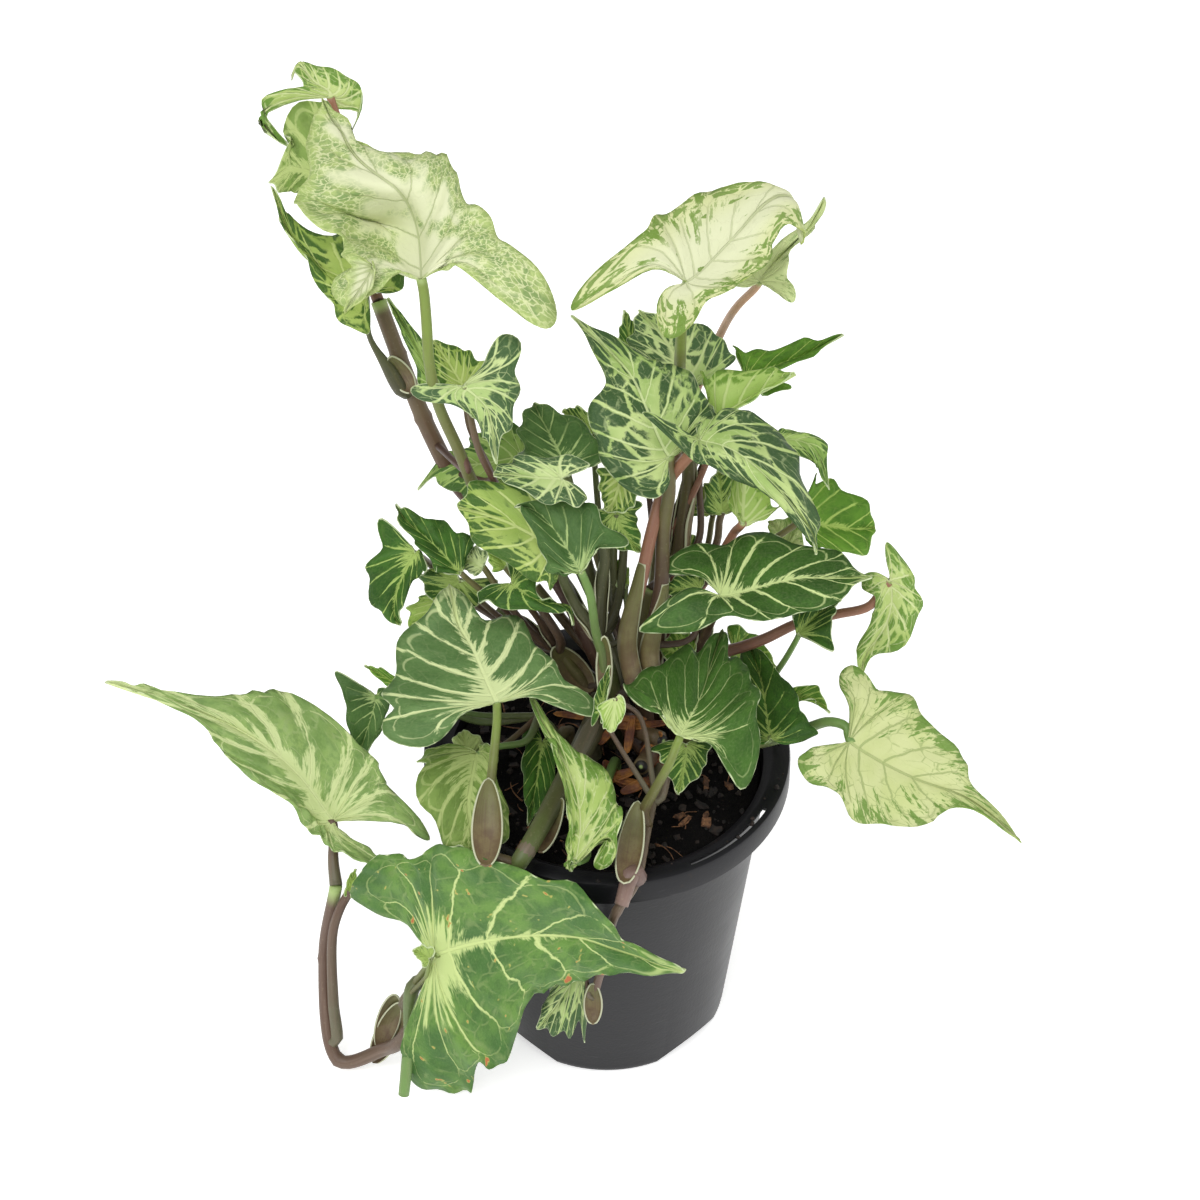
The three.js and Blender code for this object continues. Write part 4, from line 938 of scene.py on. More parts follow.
@dataclass(frozen=True)
class SheathFinish:
    """A papery sheath: brown below, green above, with fine lengthwise lines and a pale edge."""

    name: str = "sheath"
    inside: Rgb = rgb(114, 100, 66)
    outside: Rgb = rgb(98, 79, 55)
    green: Rgb = rgb(97, 102, 50)
    lines: Rgb = rgb(90, 66, 50)
    edge: Rgb = rgb(196, 200, 168)

    def material(self) -> Material:
        """Builds the material.

        Returns:
            The material.
        """
        s = Shader(self.name)
        along, _, edge, _ = s.gauge()
        lines = s.noise(s.scaled(s.uv("stalk"), (0.5, 26.0, 1.0)), 1.0, 3.0)
        blots = s.noise(s.objects(), 220.0, 3.0)
        specks = s.noise(s.objects(), 1500.0, 1.0).step(0.6, 0.68)
        colour = s.mix(blots.step(0.35, 0.65), self.inside, self.outside)
        colour = s.mix(along.step(0.3, 0.9) * 0.75, colour, self.green)
        colour = s.mix(lines.step(0.5, 0.75) * 0.55, colour, self.lines)
        colour = s.mix(specks * 0.3, colour, self.lines)
        colour = s.mix(edge.line(0.12, 0.26) * 0.85, colour, self.edge)
        return s.shade(colour, blots * 0.2 + 0.42, lines, depth=0.2)


@dataclass(frozen=True)
class DryFinish:
    """Dead papery remains of leaves round the crown."""

    name: str = "dry_leaf"
    light: Rgb = rgb(170, 112, 48)
    dark: Rgb = rgb(104, 58, 38)
    lines: Rgb = rgb(70, 44, 34)

    def material(self) -> Material:
        """Builds the material.

        Returns:
            The material.
        """
        s = Shader(self.name)
        lines = s.noise(s.scaled(s.uv("stalk"), (0.6, 22.0, 1.0)), 1.0, 4.0, 0.6)
        blots = s.noise(s.objects(), 150.0, 4.0)
        colour = s.mix(blots.step(0.35, 0.62), self.light, self.dark)
        colour = s.mix(lines.step(0.48, 0.7) * 0.7, colour, self.lines)
        return s.shade(colour, 0.6 - blots * 0.15, lines, depth=0.35)


@dataclass(frozen=True)
class PotFinish:
    """Charcoal moulded plastic: satin, with faint flow marks, dust and scuffs."""

    name: str = "pot"
    body: Rgb = rgb(23, 23, 26)
    flow: Rgb = rgb(33, 33, 36)
    dust: Rgb = rgb(74, 73, 74)
    specks: Rgb = rgb(34, 28, 26)

    def material(self) -> Material:
        """Builds the material.

        Returns:
            The material.
        """
        s = Shader(self.name)
        place = s.objects()
        cloud = s.noise(place, 26.0, 3.0)
        scuffs = s.noise(s.scaled(place, (1.0, 1.0, 7.0)), 60.0, 5.0, 0.7)
        specks = s.noise(place, 330.0, 1.0).step(0.7, 0.74)
        colour = s.mix(cloud.step(0.4, 0.7) * 0.4, self.body, self.flow)
        colour = s.mix(scuffs.step(0.6, 0.75) * 0.25, colour, self.dust)
        colour = s.mix(specks * 0.6, colour, self.specks)
        relief = s.noise(place, 900.0, 2.0) + scuffs * 0.4
        return s.shade(colour, cloud * 0.16 + scuffs * 0.14 + 0.22, relief, depth=0.05, shine=0.23)


@dataclass(frozen=True)
class SoilFinish:
    """Damp potting mix: near black, with brown crumbs."""

    name: str = "soil"
    wet: Rgb = rgb(8, 7, 7)
    damp: Rgb = rgb(16, 13, 12)
    crumbs: Rgb = rgb(64, 44, 32)

    def material(self) -> Material:
        """Builds the material.

        Returns:
            The material.
        """
        s = Shader(self.name)
        lumps = s.noise(s.objects(), 240.0, 5.0, 0.7)
        grains = s.noise(s.objects(), 1100.0, 3.0)
        colour = s.mix(lumps.step(0.4, 0.7), self.wet, self.damp)
        colour = s.mix(grains.step(0.66, 0.76) * 0.5, colour, self.crumbs)
        return s.shade(colour, 0.95 - grains * 0.2, lumps + grains * 0.6, depth=1.2, shine=0.12)


@dataclass(frozen=True)
class BarkFinish:
    """Bark chips and fibres in the mix."""

    name: str
    light: Rgb
    dark: Rgb

    def material(self) -> Material:
        """Builds the material.

        Returns:
            The material.
        """
        s = Shader(self.name)
        fibre = s.noise(s.scaled(s.objects(), (1.0, 1.0, 0.4)), 420.0, 4.0, 0.65)
        colour = s.mix(fibre.step(0.35, 0.7), self.dark, self.light)
        return s.shade(colour, 0.85 - fibre * 0.15, fibre, depth=0.4)


@dataclass(frozen=True)
class FloorFinish:
    """The pale floor, which shines a little so that it stays pale."""

    name: str = "floor"
    glow: float = 0.55

    def material(self) -> Material:
        """Builds the material.

        Returns:
            The material.
        """
        s = Shader(self.name)
        cloud = s.noise(s.objects(), 2.0, 2.0)
        colour = s.mix(cloud, rgb(250, 250, 250), rgb(255, 255, 255))
        s.surface["Emission Color"].default_value = (1.0, 1.0, 1.0, 1.0)
        s.surface["Emission Strength"].default_value = self.glow
        return s.shade(colour, cloud * 0.1 + 0.8)


# ---- Blades -----------------------------------------------------------------------------

HALF_OUTLINE = np.array(
    [
        (0.05, -0.1), (0.15, -0.3), (0.3, -0.42), (0.41, -0.27), (0.38, -0.05), (0.41, 0.13),
        (0.37, 0.34), (0.26, 0.58), (0.13, 0.8), (0.035, 0.94), (0.0, 1.0),
    ]
)
HALF_SPOTS = {
    "": (0.4, 0.15), "Up": (0.35, 0.36), "Far": (0.27, 0.52), "Edge": (0.16, 0.72), "Neck": (0.1, 0.85),
    "Mid": (0.2, 0.3), "Hip": (0.41, -0.2), "Lobe": (0.3, -0.42), "Low": (0.2, -0.36), "Notch": (0.1, -0.2),
}
PIN_SPOTS = {"seat": (0, 0), "mid": (0, 0.5), "neck": (0, 0.84), "tip": (0, 1)}
for spot, (aside, ahead) in HALF_SPOTS.items():
    PIN_SPOTS["L" + spot] = (-aside, ahead)
    PIN_SPOTS["R" + spot] = (aside, ahead)


class Sheet:
    """A thin sheet bent through a blade's pins."""

    def __init__(self, text: str) -> None:
        """Bends the sheet.

        Args:
            text: For each pin the name of a spot on the flat blade, then its place on the board.
        """
        words = text.split()
        pins = {words[k]: tuple(map(float, words[k + 1 : k + 4])) for k in range(0, len(words), 4)}
        self.spots = np.array([PIN_SPOTS[name] for name in pins], dtype=float)
        targets = np.array([BOARD.place(place) for place in pins.values()])
        plates = self._plates(self.spots)
        flat = np.hstack([np.ones((len(pins), 1)), self.spots])
        matrix = np.block([[plates, flat], [flat.T, np.zeros((3, 3))]])
        self.weights = np.linalg.solve(matrix, np.vstack([targets, np.zeros((3, 3))]))

    def _plates(self, flat: Array) -> Array:
        """How strongly each pin's bend is felt at flat places."""
        square = ((flat[:, None, :] - self.spots[None, :, :]) ** 2).sum(axis=2)
        return square * np.log(np.maximum(square, 1e-12))

    def at(self, flat: Array) -> Array:
        """Points of the sheet at flat places."""
        terms = np.hstack([self._plates(flat), np.ones((len(flat), 1)), flat])
        return terms @ self.weights

    def normal(self, flat: Array, nudge: float = 0.01) -> Array:
        """The upper side's direction.

        Args:
            flat: Flat places.
            nudge: How far apart the compared places are.

        Returns:
            One direction for each place.
        """
        across = self.at(flat + [nudge, 0]) - self.at(flat - [nudge, 0])
        along = self.at(flat + [0, nudge]) - self.at(flat - [0, nudge])
        facing = np.cross(across, along)
        return facing / (np.linalg.norm(facing, axis=1, keepdims=True) + 1e-12)


def halves(across: Array) -> tuple[Array, Array]:
    """Which half a point is on, -1 left and 1 right, and how far out to the edge it is."""
    return np.where(across >= 0.5, 1.0, -1.0), np.abs(2 * across - 1)


def blade_spots(side: Array, reach: Array, run: Array) -> Array:
    """Places on the flat blade.

    Args:
        side: -1 on the left half, 1 on the right.
        reach: Out along a vein from the midrib to the edge.
        run: Round the outline from the notch to the tip.

    Returns:
        One flat place for each.
    """
    edge = spline(HALF_OUTLINE, run)
    root = np.maximum(0, (run - 0.5) / 0.5) ** 1.3
    bend_x = 0.55 * edge[:, 0]
    bend_y = root + 0.35 * (edge[:, 1] - root)
    keep = 1 - reach
    x = 2 * keep * reach * bend_x + reach**2 * edge[:, 0]
    y = keep**2 * root + 2 * keep * reach * bend_y + reach**2 * edge[:, 1]
    return np.stack([side * x, y], axis=1)


def ribs_along(run: Array) -> Array:
    """Where the side veins leave the midrib: closer together towards the tip."""
    return run + 0.85 * np.maximum(0, run - 0.45)


@dataclass
class Blade:
    """One leaf blade; lengths are millimetres or shares of the midrib."""

    name: str
    finish: str
    cup: float
    wave: float
    pins: str
    thickness: float = 0.5
    pucker: float = 0.011
    seed: float = 0.0
    frill: float = 1.3
    loose: bool = False
    roughness: float = 0.016
    groove: float = 0.006
    nicks: float = 0.045
    edge_samples: int = 120

    def build(self) -> Piece:
        """Models the blade.

        Returns:
            The finished piece.
        """
        sheet = Sheet(self.pins)
        rib = sheet.at(np.stack([np.zeros(24), np.linspace(0, 1, 24)], axis=1))
        size = float(np.linalg.norm(np.diff(rib, axis=0), axis=1).sum())
        columns = 2 * int(np.clip(size / 5.5, 7, 15))
        rows = int(np.clip(size * 0.95, 40, 96))

        piece, across, along = sheet_piece(
            f"leaf_{self.name}", columns, rows,
            lambda across, along: self._surface(sheet, size, *halves(across), along),
        )
        side, reach = halves(across)
        flat = blade_spots(side, reach, along)
        offset = np.array([7.3 * (self.seed % 13), 5.1 * (self.seed % 7)])
        put_map(piece, "veins", np.stack([ribs_along(along) + self.seed, across], axis=1))
        put_map(piece, "patch", flat * size / 10 + offset)
        put_gauge(piece, self._gauge(flat, side, reach, along, size))
        edit(piece, weld())
        modify(
            piece, "SOLIDIFY", thickness=self.thickness * MM, offset=-1.0, use_quality_normals=True,
            use_even_offset=False, material_offset=1,
        )
        return smoothed(piece)

    def _surface(self, sheet: Sheet, size: float, side: Array, reach: Array, run: Array) -> Array:
        """Points of the upper surface.

        Args:
            sheet: The bent sheet.
            size: The midrib's length in millimetres.
            side: Which half.
            reach: Out along a vein.
            run: Round the outline.

        Returns:
            Points in millimetres.
        """
        flat = blade_spots(side, reach, run)
        ripple = np.sin(FULL_TURN * (2.5 * run + np.where(side > 0, 0.1, 0.55)))
        ends = np.sin(math.pi * np.clip(run, 0, 1)) ** 0.5
        lift = self.cup * reach * (1 - reach * 0.4) + self.wave * ripple * reach**2
        quilt = (0.5 - np.abs((ribs_along(run) * RIBS + 0.5) % 1 - 0.5)) * 2
        swell = self.pucker * size * (1 - quilt) * 4 * reach * (1 - reach) ** 0.7
        jitter = np.column_stack([flat * size / 10, side])
        rough = smooth_noise(jitter, 1.5, self.seed) * self.roughness * size * reach
        frill = smooth_noise(jitter, 3.4, self.seed + 3) * (0.45 + 0.015 * size)
        groove = -self.groove * size * np.exp(-((reach / 0.07) ** 2)) * (run > 0.5)
        lift = lift * ends + (swell + rough + groove + frill * self.frill * reach**3) * ends
        nicks = self.nicks * reach**4 * np.sin(31 * run + self.seed) * np.sin(math.pi * run) * self.frill
        flat = flat * (1 + nicks)[:, None]
        return sheet.at(flat) + sheet.normal(flat) * lift[:, None]

    def _gauge(self, flat: Array, side: Array, reach: Array, run: Array, size: float) -> Array:
        """Lengths that the pattern follows, in millimetres.

        Args:
            flat: Flat places.
            side: Which half.
            reach: Out along a vein.
            run: Round the outline.
            size: The midrib's length.

        Returns:
            For each point the length of a whole run here, and its distances from the midrib,
            the edge and the seat.
        """
        low, high = (blade_spots(side, reach, np.clip(run + nudge, 0, 1)) for nudge in (-0.01, 0.01))
        span = np.linalg.norm(high - low, axis=1) * size / 0.02 / np.where(run > 0.45, 1.85, 1.0)
        off = np.hypot(flat[:, 0], np.minimum(flat[:, 1], 0)) * size
        ones = np.ones(self.edge_samples)
        line = blade_spots(ones, ones, np.linspace(0, 1, self.edge_samples))
        inner = np.stack([np.linspace(0, 0.05, 8), np.linspace(0, -0.1, 8)], axis=1)
        line = np.vstack([inner, line])
        mirrored = np.abs(flat[:, 0:1]) * [1, 0] + flat[:, 1:2] * [0, 1]
        edge = np.sqrt(((mirrored[:, None, :] - line[None, :, :]) ** 2).sum(axis=2).min(axis=1)) * size
        far = np.hypot(flat[:, 0], flat[:, 1]) * size
        return np.stack([span, off, edge, far], axis=1)


def read_blades(table: str) -> list[Blade]:
    """Reads blades from a table.

    Args:
        table: For each blade a line with its name, finish, cup, wave and options, then lines
            of pins; an empty line lies between two blades.

    Returns:
        The blades; the seed of each is its number.
    """
    blades = []
    for entry in table.strip().split("\n\n"):
        head, pins = entry.split("\n", 1)
        name, finish, cup, wave, *more = head.split()
        seed = float(len(blades))
        blades.append(Blade(name, finish, float(cup), float(wave), pins, seed=seed, **options_of(more)))
    return blades


# ---- Shoots -----------------------------------------------------------------------------


@dataclass
class Stalk:
    """A leaf's stalk: where it runs, how thick it is, and its sheath."""

    leaf: str
    radius: float
    finish: str
    route: str
    sheath: float = 0.0
    wing: float = 0.0

    @classmethod
    def read(cls, line: str) -> Stalk:
        """Reads a stalk from its line in the table.

        Args:
            line: Leaf or none, radius, finish and options, then a bar and the route.

        Returns:
            The stalk.
        """
        words, route = line.split("|")
        leaf, radius, finish, *more = words.split()
        return cls(leaf, float(radius), finish, route, **options_of(more))

    def girth(self, level: Array) -> Array:
        """The radius, from the sheath up to the leaf.

        Args:
            level: Shares of the length.

        Returns:
            One radius for each, in millimetres.
        """
        low = self.sheath or self.radius * 1.25
        knots = np.array([low, low * 0.9, self.radius, self.radius * 0.92, self.radius * 0.85])
        return spline(knots[:, None], level)[:, 0]


def map_sheath(piece: Piece, across: Array, along: Array, length: float, half: float) -> None:
    """Gives a sheath its map and its distance from the edge.

    Args:
        piece: The sheath.
        across: Where each point lies across it, 0 to 1.
        along: Where each point lies along it, 0 to 1.
        length: Its length in millimetres.
        half: Half its width in millimetres.
    """
    put_map(piece, "stalk", np.stack([along * length / 10, across * 0.5], axis=1))
    edge = np.minimum((1 - np.abs(2 * across - 1)) * half, (1 - along) * length)
    put_gauge(piece, np.stack([along, across, edge, 0 * along + 1], axis=1))


@dataclass
class Bract:
    """The boat-shaped open sheath of a young leaf."""

    width: float
    ends: str
    facing: Place = (0.0, -0.6, 0.8)
    wrap: float = 1.25
    thickness: float = 0.6

    def build(self, name: str) -> Piece:
        """Models the sheath.

        Args:
            name: The piece's name.

        Returns:
            The sheath.
        """
        low, high = (BOARD.place(end) for end in way_of(self.ends))
        length = float(np.linalg.norm(high - low))
        ahead = (high - low) / length
        facing = np.array(self.facing) - ahead * (np.array(self.facing) @ ahead)
        facing /= np.linalg.norm(facing)
        side = np.cross(ahead, facing)

        def shape(across: Array, along: Array) -> Array:
            """A shallow spoon, pointed below and rounded above.

            Args:
                across: From one edge to the other.
                along: From the lower end to the upper.

            Returns:
                Points in millimetres.
            """
            half = self.width / 2 * np.sin(math.pi * np.clip(along, 0, 1) ** 0.85) ** 0.55
            turn = (2 * across - 1) * self.wrap
            deep = self.width * 0.3 * (1 - np.cos(turn)) - self.width * 0.28
            bow = 0.05 * length * np.sin(math.pi * along)
            place = np.column_stack([along * length, across * self.width, 0 * along])
            rough = 0.3 * smooth_noise(place, 0.5, length)
            middle = low + along[:, None] * (high - low)
            middle += (np.sin(turn) / math.sin(self.wrap) * half)[:, None] * side
            lift = deep * half / (self.width / 2) - bow + rough * half / self.width
            return middle + lift[:, None] * facing

        piece, across, along = sheet_piece(name, 14, 32, shape)
        map_sheath(piece, across, along, length, self.width / 2)
        edit(piece, weld())
        modify(piece, "SOLIDIFY", thickness=self.thickness * MM, offset=-1.0)
        return smoothed(piece)


@dataclass
class Shoot:
    """A leafy shoot: a stem, its leaves' stalks and its sheaths."""

    name: str
    finish: str
    girth: float
    foot: tuple[float, float]
    stem: str
    stalks: list[Stalk]
    bracts: list[Bract]
    root: float = 104.0
    taper: float = 0.3
    joint_gap: float = 24.0
    joint_swell: float = 0.13
    stem_sides: int = 16
    stalk_sides: int = 12
    wing_thickness: float = 0.35
    wing_half: float = 2.5

    @classmethod
    def read(cls, entry: str) -> Shoot:
        """Reads a shoot from its lines in the table.

        Args:
            entry: The shoot's line, then a line for each stalk and each open sheath.

        Returns:
            The shoot.
        """
        head, *lines = entry.splitlines()
        words, stem = head.split("|")
        name, finish, girth, x, y = words.split()
        stalks = [Stalk.read(line) for line in lines if "bract" not in line]
        sheaths = (line.split("|") for line in lines if "bract" in line)
        bracts = [Bract(float(words.split()[1]), ends) for words, ends in sheaths]
        return cls(name, finish, float(girth), (float(x), float(y)), stem, stalks, bracts)

    def build(self, blades: dict[str, Blade], coats: dict[str, Material]) -> list[Piece]:
        """Models the shoot.

        Args:
            blades: All blades by name.
            coats: The stalks' materials by name.

        Returns:
            The stalks as one piece, then the sheaths as one piece if there are any.
        """
        rise = [np.array([*self.foot, z]) for z in (self.root, SOIL_LEVEL + 1, SOIL_LEVEL + 7)]
        stem = Route([*rise, *(BOARD.place(spot) for spot in way_of(self.stem))])
        tubes = [tube(f"{self.name}_stem", stem, self._stem_radius(stem), self.stem_sides)]
        tubes[0].data.materials.append(coats[self.finish])
        wings = []
        for number, stalk in enumerate(self.stalks):
            way = [BOARD.place(spot) for spot in way_of(stalk.route)]
            seat = self._seat(blades[stalk.leaf], way[-1]) if stalk.leaf in blades else []
            route = Route([stem.nearest(way[0]), *way, *seat])
            tubes.append(tube(f"{self.name}_stalk_{number}", route, stalk.girth, self.stalk_sides))
            tubes[-1].data.materials.append(coats[stalk.finish])
            if stalk.wing:
                wings.append(self._wing(number, stalk, route))
        wings += [bract.build(f"{self.name}_bract_{k}") for k, bract in enumerate(self.bracts)]
        pieces = [joined(self.name, tubes)]
        if wings:
            pieces.append(joined(f"{self.name}_sheaths", wings))
        return pieces

    def _stem_radius(self, stem: Route) -> Callable[[Array], Array]:
        """The stem's radius, with a ring at each joint.

        Args:
            stem: Where the stem runs.

        Returns:
            A function that gives the radius at shares of the length.
        """
        joints = np.arange(0.18, 1.0, max(0.12, self.joint_gap / stem.length))

        def radius(level: Array) -> Array:
            """The radius at shares of the length."""
            rings = sum(np.exp(-(((level - joint) * stem.length / 1.1) ** 2)) for joint in joints)
            return self.girth * (1 - self.taper * level) * (1 + self.joint_swell * rings)

        return radius

    @staticmethod
    def _seat(blade: Blade, before: Array) -> list[Array]:
        """The stalk's last two places, under the blade's seat.

        Args:
            blade: The blade it carries.
            before: The stalk's last place before them.

        Returns:
            Two places.
        """
        sheet = Sheet(blade.pins)
        spots = np.array([[0.0, 0.015]])
        under = -sheet.normal(spots)[0]
        seat = sheet.at(spots)[0] + 0.45 * under
        way = (before - seat) / np.linalg.norm(before - seat)
        return [seat + 3.5 * way + 0.9 * under, seat]

    def _wing(self, number: int, stalk: Stalk, route: Route) -> Piece:
        """The thin sheath that clasps the lower part of a stalk.

        Args:
            number: Which stalk of the shoot.
            stalk: The stalk.
            route: Where it runs.

        Returns:
            The sheath.
        """

        def shape(across: Array, along: Array) -> Array:
            """A trough round the stalk that narrows to both ends.

            Args:
                across: From one edge to the other.
                along: From the lower end to the upper.

            Returns:
                Points in millimetres.
            """
            level = 0.04 + along * stalk.wing
            levels = np.unique(level)
            index = np.searchsorted(levels, level)
            centre, first, second = (part[index] for part in route.frames(levels))
            spread = 2.2 - 1.1 * along**2 - 0.3 * np.cos(FULL_TURN * along)
            angle = ((across - 0.5) * 2 * spread)[:, None]
            flare = 1.0 + 0.42 * np.abs(2 * across - 1) ** 3 + 0.1 * np.sin(9 * along + number)
            size = (stalk.girth(level) + 0.12) * (0.98 + 0.24 * np.sin(math.pi * along) ** 0.6 * flare)
            ring = -np.cos(angle) * first + np.sin(angle) * second
            return centre + ring * size[:, None]

        piece, across, along = sheet_piece(f"{self.name}_wing_{number}", 12, 36, shape)
        map_sheath(piece, across, along, route.length * stalk.wing, self.wing_half)
        modify(piece, "SOLIDIFY", thickness=self.wing_thickness * MM, offset=1.0)
        return smoothed(piece)


# ---- Pot and mix ------------------------------------------------------------------------


@dataclass
class NurseryPot:
    """A round pot with a deep rim, four rim slots, four arches and drainage holes."""

    height: float = 124.0
    rim: float = 65.0
    skirt: float = 10.0
    flange: float = 58.8
    wall_top: float = 56.8
    base: float = 44.0
    wall: float = 1.3
    ring_height: float = 8.0
    ring_inner: float = 35.0
    segments: int = 144
    arch_rise: float = 6.0
    arch_width: float = 34.0
    hole_radius: float = 3.0
    hole_circle: float = 22.0
    slot_width: float = 1.6
    slot_circle: float = 62.0
    slot_half: float = math.radians(17.5)
    sharp: float = math.radians(32)
    quarters: int = 4

    def profile(self) -> list[tuple[float, float]]:
        """The wall's profile, from the middle below to the middle inside.

        Returns:
            Radius and height of each corner.
        """
        wall, height, under = self.wall, self.height, self.height - self.skirt
        return [
            (0.0, 0.0), (self.base - 2.5, 0.0), (self.base - 1.0, 0.45), (self.base - 0.25, 1.4),
            (self.base, 3.0), (self.wall_top, under - 1.0), (self.wall_top + 1.0, height - wall),
            (self.rim - wall, height - wall), (self.rim - wall, under), (self.rim - 0.3, under),
            (self.rim, under + 0.3), (self.rim, height - 1.4), (self.rim - 0.4, height - 0.4),
            (self.rim - 1.4, height), (self.flange + 0.6, height), (self.flange - 0.4, height - 0.5),
            (self.wall_top - wall, height - 3.0), (self.base - wall - 1.0, self.ring_height),
            (self.ring_inner + 1.0, self.ring_height), (self.ring_inner, wall + 0.5), (0.0, wall + 0.5),
        ]

    def build(self) -> Piece:
        """Models the pot.

        Returns:
            The pot.
        """
        pot = made(bpy.ops.mesh.primitive_plane_add, size=0.01)
        pot.name = "pot"
        edit(pot, self._draw_profile)
        edit(pot, self._spin_profile)
        edit(pot, weld(1e-5), face_out)
        for quarter in range(self.quarters):
            turn = (quarter + 0.5) * math.pi / 2
            for cutter in (self._arch(turn), self._hole(turn), self._slot(turn)):
                modify(pot, "BOOLEAN", object=cutter, operation="DIFFERENCE", solver="EXACT")
                bpy.data.objects.remove(cutter)
        alone(pot)
        bpy.ops.object.shade_smooth_by_angle(angle=self.sharp)
        return pot

    def _draw_profile(self) -> None:
        """Draws the profile as a line that starts in the middle of the base."""
        bpy.ops.mesh.merge(type="CENTER")
        spot = (0.0, 0.0)
        for radius, height in self.profile()[1:]:
            move = ((radius - spot[0]) * MM, 0.0, (height - spot[1]) * MM)
            bpy.ops.mesh.extrude_region_move(TRANSFORM_OT_translate={"value": move})
            spot = (radius, height)

    def _spin_profile(self) -> None:
        """Turns the line round the pot's axis."""
        turn = {"steps": self.segments, "angle": FULL_TURN, "use_auto_merge": False}
        bpy.ops.mesh.spin(center=(0, 0, 0), axis=(0, 0, 1), **turn)

    def _arch(self, turn: float) -> Piece:
        """The solid that cuts a low arch between two feet.

        Args:
            turn: Its direction from the axis, in radians.

        Returns:
            The solid.
        """
        radius = (self.arch_width**2 / 4 + self.arch_rise**2) / (2 * self.arch_rise)
        reach = self.ring_inner + 2.5
        depth = self.base + 5 - reach
        middle = reach + depth / 2
        spot = Vector((middle * math.cos(turn), middle * math.sin(turn), self.arch_rise - radius)) * MM
        lie = (math.pi / 2, 0, turn + math.pi / 2)
        size = {"vertices": 96, "radius": radius * MM, "depth": depth * MM}
        return made(bpy.ops.mesh.primitive_cylinder_add, **size, location=spot, rotation=lie)

    def _hole(self, turn: float) -> Piece:
        """The solid that cuts a drainage hole.

        Args:
            turn: Its direction from the axis, in radians.

        Returns:
            The solid.
        """
        spot = Vector((self.hole_circle * math.cos(turn), self.hole_circle * math.sin(turn), 0)) * MM
        size = {"vertices": 32, "radius": self.hole_radius * MM, "depth": 10 * MM}
        return made(bpy.ops.mesh.primitive_cylinder_add, **size, location=spot)

    def _slot(self, turn: float) -> Piece:
        """The solid that cuts a long slot in the rim's flat top.

        Args:
            turn: Its direction from the axis, in radians.

        Returns:
            The solid.
        """

        def shape(across: Array, along: Array) -> Array:
            """An arc a slot wide, under the rim's top.

            Args:
                across: From the inner side to the outer.
                along: From end to end.

            Returns:
                Points in millimetres.
            """
            angle = turn + (2 * along - 1) * self.slot_half
            radius = self.slot_circle + (across - 0.5) * self.slot_width
            level = 0 * angle + self.height - 3
            return np.stack([radius * np.cos(angle), radius * np.sin(angle), level], axis=1)

        cutter, _, _ = sheet_piece("slot_cutter", 1, 16, shape)
        modify(cutter, "SOLIDIFY", thickness=6 * MM, offset=1.0)
        edit(cutter, face_out)
        return cutter


